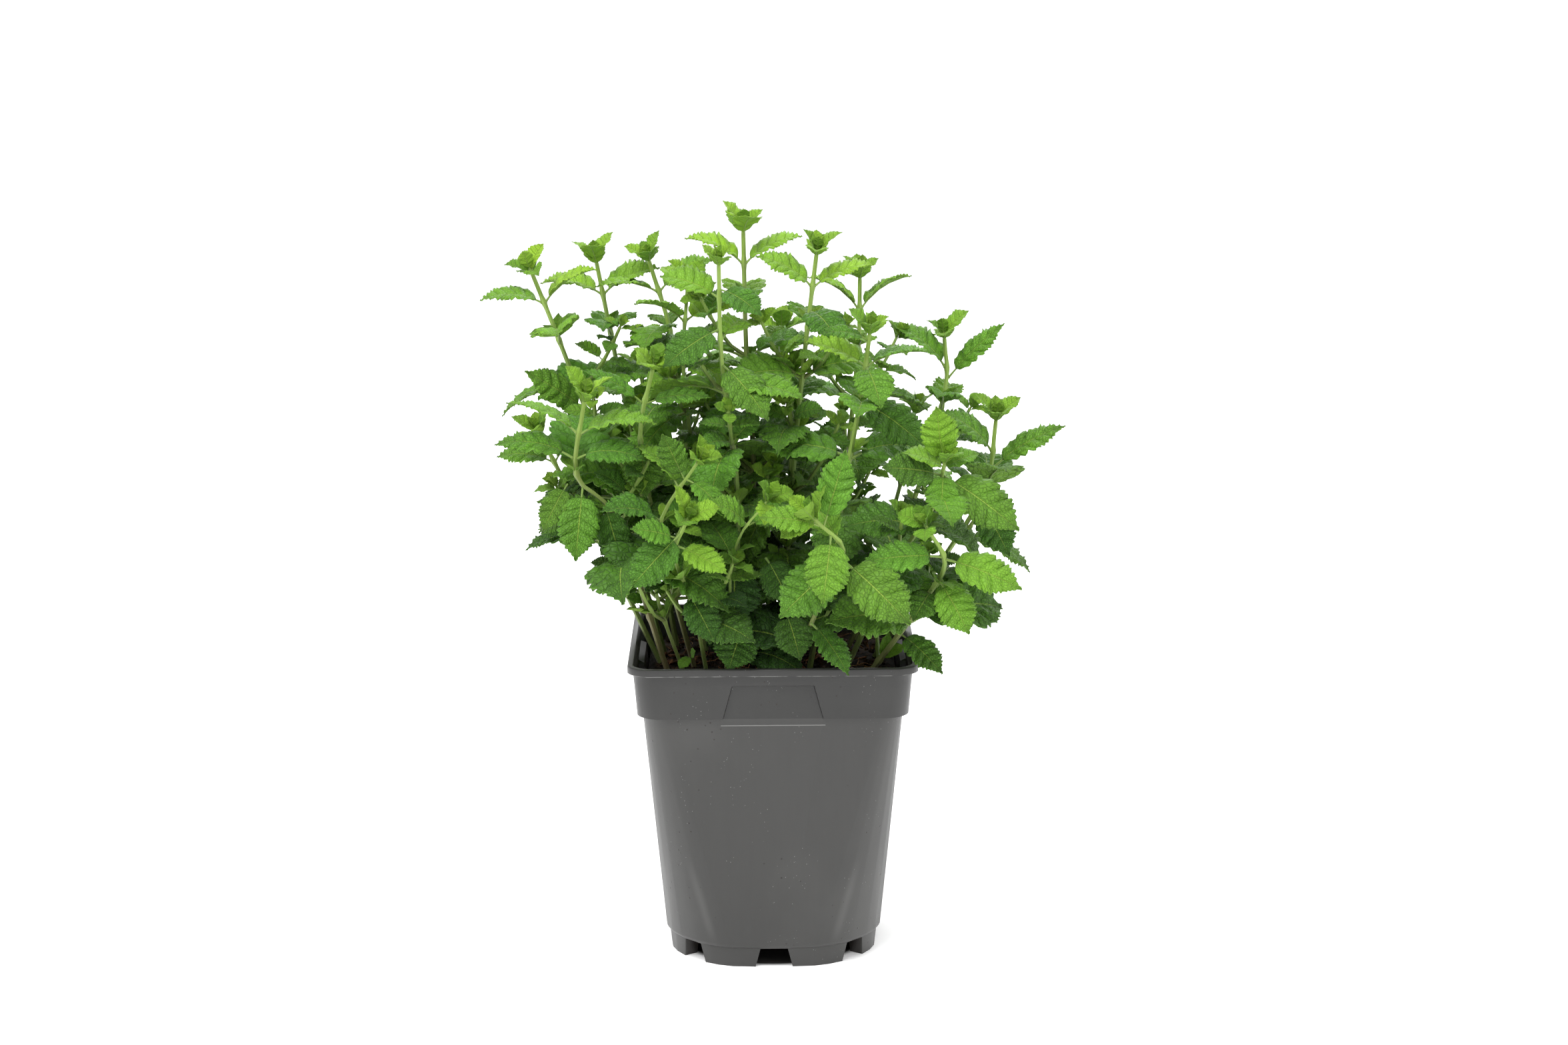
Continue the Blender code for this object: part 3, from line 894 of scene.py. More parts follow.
@dataclass(frozen=True)
class LeafPattern:
    """One leaf shape, modelled at a length of 1 with its stalk at the origin and its tip at +Y."""

    kind: LeafKind
    half_width: float     # at the widest place
    widest: float         # where that is along the blade
    stalk: float          # share of the length that is stalk
    laterals: int         # side veins on each half
    rows_each: int        # rows of faces between two side veins
    columns: int          # columns of faces on each half
    slant: float          # how far a row runs forward towards the edge, per unit of width
    tooth: float          # how far a tooth stands out, as a share of the width there
    quilt: float          # how far the blade swells between the veins
    thickness: float = 0.009
    rib_radius: float = 0.019
    teeth_each: int = 2

    def outline(self, along: float) -> float:
        """Half the blade's width as a share of the widest, at a share of the blade's length."""
        power = math.log(0.5) / math.log(self.widest)
        swell = math.sin(math.pi * min(max(along, 0.0), 1.0) ** power)
        return max(abs(swell) ** (0.68 + 0.5 * along), 0.035)

    def slant_at(self, along: float) -> float:
        """How far rows run forward at a share of the blade's length: less near its base."""
        return self.slant * min(along / 0.3, 1.0)

    def model(self, finishes: Finishes) -> bpy.types.Object:
        """Model the leaf.

        Args:
            finishes: The plant's finishes.

        Returns:
            The leaf, to be copied and then thrown away.
        """
        rows = self.laterals * self.rows_each
        deselect_all()
        bpy.ops.mesh.primitive_grid_add(x_subdivisions=2 * self.columns, y_subdivisions=rows, size=2.0)
        blade = bpy.context.object
        blade.name = "pattern_%s" % self.kind.value
        grid = mesh_places(blade.data)
        row_of = np.rint((grid[:, 1] + 1.0) / 2.0 * rows).astype(int)
        column_of = np.rint(grid[:, 0] * self.columns).astype(int)
        with Bench(blade) as bench:
            self._shape_rows(bench, rows, row_of, column_of)
            self._cut_teeth(bench, rows, row_of, column_of)
        for material in (finishes.leaf_upper, finishes.leaf_lower, finishes.stalk):
            blade.data.materials.append(material)
        finish_with(
            blade, "SOLIDIFY", thickness=self.thickness, offset=-1.0, material_offset=1,
            material_offset_rim=1,
        )
        rib = self._model_rib(finishes)
        leaf = join_pieces([blade, rib], blade.name)
        make_active(leaf)
        bpy.ops.object.shade_smooth()
        return leaf

    def _shape_rows(self, bench: Bench, rows: int, row_of: np.ndarray, column_of: np.ndarray) -> None:
        """Give each row its width, run it forward towards the edges and swell it between the veins.

        Args:
            bench: Edit mode on the blade.
            rows: How many rows of faces there are.
            row_of: The row of each vertex, from the base.
            column_of: The column of each vertex, 0 on the midrib.
        """
        blade_length = 1.0 - self.stalk
        rng = random.Random(self.kind.value)
        bpy.ops.mesh.select_all(action="SELECT")
        half_size = (self.half_width, blade_length / 2.0, 1.0)
        bpy.ops.transform.resize(value=half_size, center_override=(0, 0, 0))
        bpy.ops.transform.translate(value=(0.0, self.stalk + blade_length / 2.0, 0.0))
        for row in range(rows + 1):
            along = row / rows
            width = self.outline(along)
            in_row = row_of == row
            bench.pick_rows(np.nonzero(in_row)[0])
            bpy.ops.transform.resize(value=(width, 1.0, 1.0), center_override=(0, 0, 0))
            swell = math.sin(math.pi * (row % self.rows_each) / self.rows_each) - 0.25
            for column in range(1, self.columns + 1):
                share = column / self.columns
                forward = self.slant_at(along) * share * width * self.half_width
                swollen = swell * math.sin(math.pi * share * 0.85)
                raised = self.quilt * width * (swollen + rng.uniform(-0.35, 0.35))
                bench.pick_rows(np.nonzero(in_row & (abs(column_of) == column))[0])
                bpy.ops.transform.translate(value=(0.0, forward, raised))

    def _cut_teeth(self, bench: Bench, rows: int, row_of: np.ndarray, column_of: np.ndarray) -> None:
        """Pull the edge out and forward into teeth, and in between them.

        Args:
            bench: Edit mode on the blade.
            rows: How many rows of faces there are.
            row_of: The row of each vertex, from the base.
            column_of: The column of each vertex, 0 on the midrib.
        """
        rows_a_tooth = self.rows_each // self.teeth_each
        edge = (abs(column_of) == self.columns) & (row_of > 1) & (row_of < rows)
        tips = edge & (row_of % rows_a_tooth != 0)
        notches = edge & (row_of % rows_a_tooth == 0)
        rng = random.Random(self.kind.value)
        for row in sorted(set(row_of[tips])):
            bench.pick_rows(np.nonzero(tips & (row_of == row))[0])
            stands = self.tooth * rng.uniform(0.5, 1.4)
            bpy.ops.transform.resize(value=(1.0 + stands, 1.0, 1.0), center_override=(0, 0, 0))
            bpy.ops.transform.translate(value=(0.0, stands * 0.1, self.tooth * rng.uniform(-0.25, 0.25)))
        bench.pick_rows(np.nonzero(notches)[0])
        bpy.ops.transform.resize(value=(1.0 - self.tooth * 0.7, 1.0, 1.0), center_override=(0, 0, 0))

    def _model_rib(self, finishes: Finishes) -> bpy.types.Object:
        """Model the stalk, which runs on under the blade as its midrib.

        Args:
            finishes: The plant's finishes.

        Returns:
            The stalk with its midrib.
        """
        radius = self.rib_radius
        start = self.stalk
        places = (start * 0.15, start * 0.8, start + 0.06, 0.42, 0.62, 0.86)
        stations = zip(places, (1.0, 0.8, 0.72, 0.5, 0.34, 0.12))
        deselect_all()
        bpy.ops.mesh.primitive_circle_add(
            vertices=6, radius=radius * 1.25, fill_type="NGON", rotation=(math.pi / 2, 0.0, 0.0),
            location=(0.0, 0.0, -radius * 0.5 - self.thickness),
        )
        rib = bpy.context.object
        bpy.ops.object.transform_apply(location=True, rotation=True, scale=True)
        reached, size = 0.0, 1.25
        with Bench(rib):
            bpy.ops.mesh.select_all(action="SELECT")
            for station, share in stations:
                run = (0.0, station - reached, 0.0)
                bpy.ops.mesh.extrude_region_move(TRANSFORM_OT_translate={"value": run})
                centre = (0.0, station, -self.thickness * 0.5)
                bpy.ops.transform.resize(value=(share / size, 1.0, share / size), center_override=centre)
                reached, size = station, share
            bpy.ops.mesh.select_all(action="SELECT")
            bpy.ops.mesh.normals_make_consistent(inside=False)
        for material in (finishes.leaf_upper, finishes.leaf_lower, finishes.stalk):
            rib.data.materials.append(material)
        rib.data.polygons.foreach_set("material_index", [2] * len(rib.data.polygons))
        return rib


LEAF_PATTERNS = (
    LeafPattern(LeafKind.BROAD, 0.29, 0.31, 0.14, 6, 6, 5, 0.50, 0.080, 0.050),
    LeafPattern(LeafKind.LONG, 0.24, 0.31, 0.16, 6, 6, 5, 0.55, 0.095, 0.044),
    LeafPattern(LeafKind.YOUNG, 0.26, 0.33, 0.11, 6, 6, 4, 0.50, 0.105, 0.044),
    LeafPattern(LeafKind.CROWN, 0.33, 0.38, 0.04, 4, 6, 3, 0.45, 0.075, 0.045),
    LeafPattern(LeafKind.BUD, 0.28, 0.38, 0.06, 4, 2, 2, 0.40, 0.08, 0.020, teeth_each=1),
)


@dataclass
class LeafPose:
    """Where one leaf sits and how it bends: an arc from its stem to its tip."""

    base: Vector
    tip: Vector
    face: Vector            # the way that the middle of its upper side looks
    arch: float             # how far the midrib turns from base to tip, degrees
    fold: float = 16.0      # how far each half is folded up, degrees
    twist: float = 0.0      # how far the tip is turned about the midrib, degrees
    wave: float = 0.02      # height of the edge's waves, as a share of the length
    width: float = 1.0
    sway: float = 0.0       # sideways bow of the midrib, as a share of the length
    curl: float = 0.035     # how far the edges hang below the folded blade, as a share of the length

    def shape(self, local: np.ndarray) -> np.ndarray:
        """Bend points of a leaf pattern into place.

        Args:
            local: Points of the pattern, one a row.

        Returns:
            The same points on the plant.
        """
        base = np.array(self.base)
        chord = np.array(self.tip) - base
        reach = float(np.linalg.norm(chord))
        ahead = chord / reach
        normal = np.array(self.face) - ahead * float(np.dot(self.face, ahead))
        normal /= np.linalg.norm(normal)
        beside = np.cross(ahead, normal)
        arch = math.radians(max(abs(self.arch), 1.0)) * (1 if self.arch >= 0 else -1)
        length = reach * arch / (2.0 * math.sin(arch / 2.0))
        along = np.clip(local[:, 1], 0.0, 1.0)
        angle = arch * (0.5 - along)
        run = (math.sin(arch / 2.0) - np.sin(angle)) / arch * length
        rise = (np.cos(angle) - math.cos(arch / 2.0)) / arch * length
        fold = math.radians(self.fold)
        turn = math.radians(self.twist) * along
        width = local[:, 0] * self.width * length
        across = width * math.cos(fold)
        waves = self.wave * length * np.sin(along * 17.0 + self.twist) * (local[:, 0] / 0.3) ** 2
        hang = self.curl * length * (local[:, 0] / 0.3) ** 2
        up = local[:, 2] * length + abs(width) * math.sin(fold) + waves - hang
        bow = self.sway * length * np.sin(math.pi * along)
        side_move = across * np.cos(turn) - up * np.sin(turn) + bow
        up_move = across * np.sin(turn) + up * np.cos(turn)
        normals = -np.sin(angle)[:, None] * ahead + np.cos(angle)[:, None] * normal
        spine = base + run[:, None] * ahead + rise[:, None] * normal
        return spine + side_move[:, None] * beside + up_move[:, None] * normals


PROBES = np.array([(x, y, 0.0) for y in (0.3, 0.45, 0.6, 0.8, 1.0) for x in (-0.2, 0.0, 0.2)])


class LeafShop:
    """Makes leaves: one pattern of each kind, copied, bent and coloured."""

    def __init__(self, finishes: Finishes) -> None:
        """Model every pattern once."""
        self.patterns = {pattern.kind: pattern.model(finishes) for pattern in LEAF_PATTERNS}
        self.places = {kind: mesh_places(item.data) for kind, item in self.patterns.items()}
        self.made = 0

    def cut(self, kind: LeafKind, pose: LeafPose, age: float, tint: float) -> bpy.types.Object:
        """Copy a pattern and bend it into place.

        Args:
            kind: Which leaf shape.
            pose: Where it sits and how it bends.
            age: 0 for a fresh leaf, 1 for an old one.
            tint: Its own shade, 0 to 1.

        Returns:
            The leaf.
        """
        self.made += 1
        leaf = copy_piece(self.patterns[kind], "leaf_%d" % self.made)
        set_places(leaf.data, pose.shape(self.places[kind]))
        mark_points(leaf.data, AGE, min(max(age, 0.0), 1.0))
        mark_points(leaf.data, TINT, tint)
        return leaf

    def clear_away(self) -> None:
        """Remove the patterns, which are no part of the plant."""
        for item in self.patterns.values():
            bpy.data.objects.remove(item)


class LeafRoom:
    """Keeps points of the leaves and stems that are there, so that new leaves find free space."""

    OPEN_FROM = 34 * MM       # how far off the middle the peat lies open to view
    LEFT_CLEAR = 180 * MM     # lowest leaves on the left, above bare stems
    RIGHT_CLEAR = 166 * MM

    def __init__(self, low: Vector, high: Vector, rim: Vector, peat: float) -> None:
        """Take the limits that leaves keep to.

        Args:
            low: The lowest corner of the box that they stay inside.
            high: Its highest corner.
            rim: The highest corner of the pot's rim.
            peat: The peat's height.
        """
        self.low = np.array(low)
        self.high = np.array(high)
        self.rim_half = rim.x - 6 * MM
        self.rim_clear = rim.z + 3 * MM
        self.peat_clear = peat + 4 * MM
        self.points = np.empty((0, 3))

    def add(self, points: np.ndarray) -> None:
        """Add points of something that is now there."""
        self.points = np.vstack((self.points, points))

    def add_line(self, line: "StemLine") -> None:
        """Add a stem, as points along its centre line."""
        self.add(np.array([line.at(depth) for depth in np.arange(0.0, line.length, 4 * MM)]))

    def crowding_at(self, place: Vector) -> float:
        """How near something already stands to one place: 1 where it touches, 0 where it is far off."""
        gaps = np.linalg.norm(self.points - np.array(place), axis=1)
        return float(math.exp(-(gaps.min() / (5 * MM)) ** 2))

    def crowding(self, pose: LeafPose) -> float:
        """How much a leaf would touch what is there or leave the box.

        Args:
            pose: The leaf's pose.

        Returns:
            0 for a free place, and more for a crowded one.
        """
        probes = pose.shape(PROBES)
        outside = np.maximum(self.low - probes, 0.0) + np.maximum(probes - self.high, 0.0)
        cost = float(outside.sum()) / MM * 3.0
        over_rim = np.abs(probes[:, :2]).max(axis=1) > self.rim_half
        left, right = probes[:, 0] < -self.OPEN_FROM, probes[:, 0] > self.OPEN_FROM
        lowest = np.where(left, self.LEFT_CLEAR, np.where(right, self.RIGHT_CLEAR, self.peat_clear))
        lowest = np.where(over_rim, np.maximum(lowest, self.rim_clear), lowest)
        cost += float(np.maximum(lowest - probes[:, 2], 0.0).sum()) / MM * 0.15
        near = self.points[np.all(abs(self.points - probes.mean(axis=0)) < 35 * MM, axis=1)]
        if len(near):
            gaps = np.linalg.norm(probes[:, None, :] - near[None, :, :], axis=2)
            cost += float(np.exp(-(gaps.min(axis=1) / (3.5 * MM)) ** 2).sum())
        return cost


# ---------------------------------------------------------------- stems and shoots


@dataclass
class StemLine:
    """A stem's centre line, from the peat up to its crown."""

    points: np.ndarray
    lengths: np.ndarray = field(init=False)

    def __post_init__(self) -> None:
        """Work out how far up the line each point lies."""
        spans = np.linalg.norm(np.diff(self.points, axis=0), axis=1)
        self.lengths = np.concatenate(((0.0,), np.cumsum(spans)))

    @classmethod
    def of_node(cls, node: str, frame: dict) -> "StemLine":
        """Read the centre line from a stem's level rings; its last rings are the bud.

        Args:
            node: The stem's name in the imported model.
            frame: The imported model.

        Returns:
            The centre line.
        """
        places = np.unique(np.round(mesh_places(frame["nodes"][node].data), 6), axis=0)
        levels = np.unique(np.round(places[:, 2], 5))
        rings = [places[abs(places[:, 2] - level) < 2e-5].mean(axis=0) for level in levels]
        return cls(np.array(rings[:-4]))

    @property
    def length(self) -> float:
        """The whole line's length."""
        return float(self.lengths[-1])

    def at_height(self, height: float) -> Vector:
        """The place at this height above the ground."""
        return Vector(places_along(height, self.points[:, 2], self.points))

    def with_core(self, reach: float) -> "StemLine":
        """The same line, run on straight by a short reach at its top."""
        top = self.at(0.0) + self.lean(2 * MM) * reach
        return StemLine(np.vstack((self.points, np.array(top))))

    def at(self, depth: float) -> Vector:
        """The place this far below the crown."""
        return Vector(places_along(self.length - depth, self.lengths, self.points))

    def lean(self, depth: float) -> Vector:
        """The way that the stem grows this far below the crown."""
        return (self.at(depth - 2 * MM) - self.at(depth + 2 * MM)).normalized()


@dataclass(frozen=True)
class StemMaker:
    """Makes fine stems: one straight square stem, copied and laid along each centre line."""

    rings: int = 120
    foot_half: float = 1.15 * MM
    tip_half: float = 0.80 * MM
    knot_reach: float = 1.9 * MM
    knot_swell: float = 0.42
    core: float = 6.5 * MM          # how far the stem runs up into its crown

    def model(self, finishes: Finishes) -> bpy.types.Object:
        """Model a straight stem of length 1 and half width 1, square with hollow sides.

        Args:
            finishes: The plant's finishes.

        Returns:
            The straight stem.
        """
        deselect_all()
        bpy.ops.mesh.primitive_circle_add(vertices=12, radius=1.0, fill_type="NGON")
        stem = bpy.context.object
        stem.name = "pattern_stem_%d" % self.rings
        with Bench(stem) as bench:
            bench.pick_rows(range(0, 12, 3))
            bpy.ops.transform.resize(value=(1.22, 1.22, 1.0), center_override=(0, 0, 0))
            bpy.ops.mesh.select_all(action="SELECT")
            bpy.ops.transform.resize(value=(0.95, 0.95, 1.0), center_override=(0, 0, 0))
            climb = {"value": (0.0, 0.0, 1.0 / self.rings)}
            for _ in range(self.rings):
                bpy.ops.mesh.extrude_region_move(TRANSFORM_OT_translate=climb)
            bpy.ops.mesh.select_all(action="SELECT")
            bpy.ops.mesh.normals_make_consistent(inside=False)
        stem.data.materials.append(finishes.stalk)
        make_active(stem)
        bpy.ops.object.shade_smooth_by_angle(angle=math.radians(60))
        return stem

    def lay(
        self, pattern: bpy.types.Object, line: StemLine, depths: Sequence[float], turn: float, brown: float,
        girth: float, name: str,
    ) -> bpy.types.Object:
        """Copy the straight stem and lay it along a centre line.

        Args:
            pattern: The straight stem.
            line: The centre line.
            depths: How far below the crown its leaf pairs sit.
            turn: The square's turn, degrees.
            brown: How woody it is, 0 to 1.
            girth: How thick it is, against a common stem.
            name: The stem's name.

        Returns:
            The stem.
        """
        stem = copy_piece(pattern, name)
        local = mesh_places(stem.data)
        line = line.with_core(self.core)
        climbed = local[:, 2] * line.length
        centre, ahead, behind = (
            places_along(climbed + shift, line.lengths, line.points) for shift in (0.0, MM, -MM)
        )
        axis_up = ahead - behind
        axis_up /= np.linalg.norm(axis_up, axis=1)[:, None]
        heading = math.radians(turn)
        side = np.array((math.cos(heading), math.sin(heading), 0.0))
        side = side - axis_up * (axis_up @ side)[:, None]
        side /= np.linalg.norm(side, axis=1)[:, None]
        other = np.cross(axis_up, side)
        half = girth * (self.foot_half + (self.tip_half - self.foot_half) * local[:, 2] ** 1.2)
        to_top = line.length - climbed
        half = half * np.clip(to_top / self.core, 0.25, 1.0)
        for depth in depths:
            away = (to_top - self.core - depth) / self.knot_reach
            half = half * (1.0 + self.knot_swell * np.exp(-away ** 2))
        one_way, other_way = (local[:, 0] * half)[:, None], (local[:, 1] * half)[:, None]
        set_places(stem.data, centre + one_way * side + other_way * other)
        mark_points(stem.data, WOOD, np.clip(brown * 0.8 + 0.4 * (1.0 - local[:, 2] * 2.4), 0.0, 1.0))
        mark_points(stem.data, AGE, np.clip(1.15 - 1.3 * local[:, 2], 0.0, 1.0))
        mark_points(stem.data, TINT, 0.5)
        return stem


@dataclass
class Shoot:
    """One stem of the plant with its leaf pairs, side buds and crown."""

    label: str
    line: StemLine
    rng: random.Random
    turn: float = 0.0          # heading of the top pair, degrees
    size: float = 1.0
    brown: float = 0.0
    girth: float = 1.0
    pitch: float = 1.0         # how long its internodes are, against a main shoot's
    bare_foot: float = 12.0 * MM
    cad_pairs: dict[int, str] = field(default_factory=dict)

    FIRST_INTERNODE = 14.0 * MM
    INTERNODE_STEP = 5.0 * MM
    LONGEST_INTERNODE = 27.0 * MM

    @classmethod
    def of_frame(cls, label: str, frame: dict, rng: random.Random) -> "Shoot":
        """Read a shoot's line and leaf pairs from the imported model.

        Args:
            label: The shoot's number, as in its nodes' names.
            frame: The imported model.
            rng: The shoot's own random draws.

        Returns:
            The shoot, turned and sized as its leaf pairs there are.
        """
        shoot = cls(label, StemLine.of_node("stem_%s" % label, frame), rng)
        prefix = "leaves_%s_" % label
        for node in sorted(frame["nodes"]):
            if node.startswith(prefix):
                shoot.cad_pairs[int(node[len(prefix):]) - 1] = node
        pair = min(shoot.cad_pairs)
        first, second = shoot.cad_tips(pair, frame)
        run = first - second
        shoot.turn = math.degrees(math.atan2(run.y, run.x)) - 90.0 * pair
        shoot.size = run.length / 2.0 / (shoot.leaf_length(pair) * 0.93)
        shoot.brown = BROWN_STEMS.get(label, 0.0)
        shoot.girth = THIN_STEMS.get(label, 1.0)
        return shoot

    def depth(self, pair: int) -> float:
        """How far below the crown a leaf pair sits, 0 being the top one."""
        internodes = (self.FIRST_INTERNODE + self.INTERNODE_STEP * step for step in range(pair + 1))
        return self.pitch * sum(min(internode, self.LONGEST_INTERNODE) for internode in internodes)

    def leaf_length(self, pair: int) -> float:
        """A leaf's length by the number of its pair."""
        return min(28.0 + 4.5 * pair, 44.0) * MM * self.size

    def pairs(self) -> list[int]:
        """The leaf pairs that have room between the crown and the bare foot.

        Returns:
            Their numbers, from the top.
        """
        found = []
        while self.depth(len(found)) < self.line.length - self.bare_foot:
            found.append(len(found))
        return found

    def cad_tips(self, pair: int, frame: dict) -> tuple[Vector, Vector]:
        """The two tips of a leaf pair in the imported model.

        Args:
            pair: The pair's number.
            frame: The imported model.

        Returns:
            Both tips, the farther one first.
        """
        places = mesh_places(frame["nodes"][self.cad_pairs[pair]].data)
        centre = np.array(self.line.at(self.depth(pair)))
        away = places - centre
        first = places[np.argmax(np.linalg.norm(away, axis=1))]
        back = away[:, :2] @ (first - centre)[:2] < 0.0
        behind = places[back]
        second = behind[np.argmax(np.linalg.norm(behind - centre, axis=1))]
        return Vector(first), Vector(second)


@dataclass(frozen=True)
class TrainedLeaf:
    """A leaf at the plant's front that grows in a way of its own, away from its pair's rule."""

    shoot: str
    height: float      # mm above the ground, of its place on the stem
    heading: float     # degrees round the stem
    rise: float        # degrees from level, stem to tip
    reach: float       # mm, stem to tip
    spread: float      # mm, the blade's width
    age: float
    kind: LeafKind = LeafKind.BROAD
    look: tuple[float, float] = (-90.0, 28.0)    # heading and rise of its upper side
    arch: float = 26.0
    fold: float = 8.0
    twist: float = 0.0
    foot: tuple[float, float, float] | None = None    # mm, where it grows from a twig of its own

    def pose(self, line: StemLine, half_width: float) -> LeafPose:
        """Work out the leaf's pose.

        Args:
            line: Its stem's centre line.
            half_width: Half the width of its pattern, at a length of 1.

        Returns:
            The pose.
        """
        ahead = direction(self.heading, self.rise)
        foot = Vector(self.foot) * MM if self.foot else line.at_height(self.height * MM)
        return LeafPose(
            base=foot + ahead * 0.6 * MM,
            tip=foot + ahead * self.reach * MM,
            face=direction(*self.look),
            arch=self.arch,
            fold=self.fold,
            twist=self.twist,
            wave=0.012,
            width=self.spread / (2.0 * half_width * self.reach * 1.02),
        )


BROWN_STEMS = {"06": 0.75, "13": 0.7, "14": 0.55, "18": 0.45, "19": 0.4, "10": 0.3}
THIN_STEMS = {"21": 0.62, "16": 0.8, "17": 0.8, "18": 0.85, "23": 0.85, "25": 0.8, "12": 0.85}

TRAINED_LEAVES = (
    TrainedLeaf("13", 225, -108, -72, 34, 19, 0.58, arch=20),
    TrainedLeaf("13", 217, -30, -72, 33, 16, 0.81, arch=16, twist=14),
    TrainedLeaf("13", 210, 190, 6, 32, 17, 0.71, arch=30),
    TrainedLeaf("13", 238, 172, 8, 37, 14, 0.58, LeafKind.LONG, look=(-90, 62), arch=62),
    TrainedLeaf("13", 238, -14, 0, 33, 16, 0.58, LeafKind.LONG, look=(-80, 60), arch=66),
    TrainedLeaf("14", 245, -80, -58, 30, 19, 0.73, arch=28),
    TrainedLeaf("14", 260, 192, 30, 32, 11, 0.48, LeafKind.LONG, look=(-100, 64), arch=30),
    TrainedLeaf("14", 260, -10, 6, 31, 11, 0.58, LeafKind.LONG, look=(-80, 60), arch=40),
    TrainedLeaf("17", 207, 206, 16, 24, 13, 0.48, LeafKind.LONG, look=(-95, 45)),
    TrainedLeaf("17", 210, 200, -44, 34, 18, 0.69, look=(-85, 30)),
    TrainedLeaf("17", 204, -34, -20, 29, 13, 0.33, LeafKind.LONG, look=(-80, 44)),
    TrainedLeaf("17", 180, -45, -50, 27, 16, 0.84, look=(-80, 22)),
    TrainedLeaf("16", 231, -40, -34, 27, 12, 0.45, LeafKind.LONG, look=(-60, 42), arch=50),
    TrainedLeaf("16", 230, 215, 62, 25, 13, 0.71, look=(-100, 20), arch=-20),
    TrainedLeaf("18", 214, -12, 74, 36, 16, 0.49, look=(-96, 12), arch=-24),
    TrainedLeaf("18", 215, 192, 10, 28, 14, 0.40, LeafKind.LONG, look=(-90, 50)),
    TrainedLeaf("18", 211, -112, -69, 31, 20, 0.58, look=(-84, 22)),
    TrainedLeaf("18", 198, 200, -39, 38, 23, 0.66, look=(-95, 30)),
    TrainedLeaf("18", 198, -26, -39, 42, 24, 0.71, look=(-86, 34)),
    TrainedLeaf("19", 198, 189, -2, 37, 16, 0.53, LeafKind.LONG, look=(-95, 46)),
    TrainedLeaf("19", 197, -14, -20, 37, 19, 0.43, look=(-84, 42)),
    TrainedLeaf("19", 186, -39, -54, 28, 18, 0.48, look=(-84, 26)),
    TrainedLeaf("19", 181, 235, -35, 20, 15, 0.73, look=(-100, 34)),
    TrainedLeaf("20", 236, -120, 74, 29, 17, 0.35, look=(-88, 16), arch=-18),
    TrainedLeaf("20", 234, -98, -55, 22, 15, 0.40, look=(-88, 30)),
    TrainedLeaf("20", 232, 193, 9, 28, 19, 0.79, look=(-95, 42)),
    TrainedLeaf("20", 232, -17, -34, 42, 22, 0.69, look=(-82, 36)),
    TrainedLeaf("05", 277, -48, -36, 38, 19, 0.71, look=(-74, 34), arch=34),
    TrainedLeaf("05", 311, -38, -24, 26, 15, 0.58, look=(-74, 46), arch=40),
    TrainedLeaf("05", 293, 210, -28, 33, 18, 0.71, look=(-105, 36), arch=34),
    TrainedLeaf("07", 298, -66, -20, 31, 18, 0.66, look=(-80, 46), arch=50),
    TrainedLeaf("09", 277, -77, -30, 30, 18, 0.58, look=(-84, 44), arch=44),
    TrainedLeaf("09", 289, 202, 10, 24, 10, 0.58, LeafKind.LONG, look=(-95, 62), arch=46),
    TrainedLeaf("09", 261, -23, -32, 37, 20, 0.73, look=(-82, 42), arch=34),
    TrainedLeaf("01", 248, 208, 34, 37, 16, 0.63, look=(-110, 40), arch=24),
    TrainedLeaf("10", 257, 0, 44, 38, 12, 0.48, LeafKind.LONG, look=(-100, 56), arch=20),
    TrainedLeaf("11", 220, 0, 30, 40, 14, 0.58, LeafKind.LONG, look=(-95, 62), arch=34),
    TrainedLeaf("05", 161, -113, -45, 25, 20, 0.85, look=(-84, 34), foot=(-13, -47, 162)),
    TrainedLeaf("21", 166, -55, -34, 34, 14, 0.71, LeafKind.LONG, look=(-64, 40), foot=(17, -60, 166)),
    TrainedLeaf("20", 158, -34, -36, 28, 15, 0.74, look=(-72, 46), foot=(57, -48, 158)),
    TrainedLeaf("05", 186, -90, -62, 28, 24, 0.95, look=(-88, 28), foot=(-17, -40, 188)),
    TrainedLeaf("21", 191, -50, -49, 26, 18, 0.87, look=(-80, 36), foot=(-3, -42, 192)),
    TrainedLeaf("17", 180, -60, -59, 28, 16, 0.84, look=(-84, 24), foot=(-35, -48, 180)),
    TrainedLeaf("18", 182, -97, -54, 28, 22, 0.93, look=(-90, 34), foot=(38, -42, 184)),
    TrainedLeaf("21", 168, -67, -50, 25, 18, 0.89, look=(-84, 34), foot=(6, -48, 168)),
    TrainedLeaf("19", 186, -40, -57, 29, 17, 0.61, look=(-74, 26), foot=(74, -57, 187)),
    TrainedLeaf("19", 188, -51, -57, 24, 17, 0.68, look=(-80, 30), foot=(61, -53, 188)),
    TrainedLeaf("20", 216, -36, -55, 30, 18, 0.76, look=(-76, 26), foot=(92, -42, 218)),
    TrainedLeaf("13", 226, 216, -56, 25, 13, 0.71, look=(-100, 26), foot=(-91, -40, 226)),
    TrainedLeaf("17", 147, 230, -28, 9, 6, 0.35, LeafKind.CROWN, look=(-95, 50), foot=(-37, -46, 147)),
    TrainedLeaf("17", 147, -70, 30, 8, 5, 0.33, LeafKind.CROWN, look=(-85, 30), foot=(-37, -46, 147)),
    TrainedLeaf("16", 168, 200, 10, 10, 7, 0.46, LeafKind.CROWN, look=(-95, 50), foot=(-57, -24, 168)),
    TrainedLeaf("16", 168, -60, -20, 9, 6, 0.43, LeafKind.CROWN, look=(-85, 40), foot=(-57, -24, 168)),
)


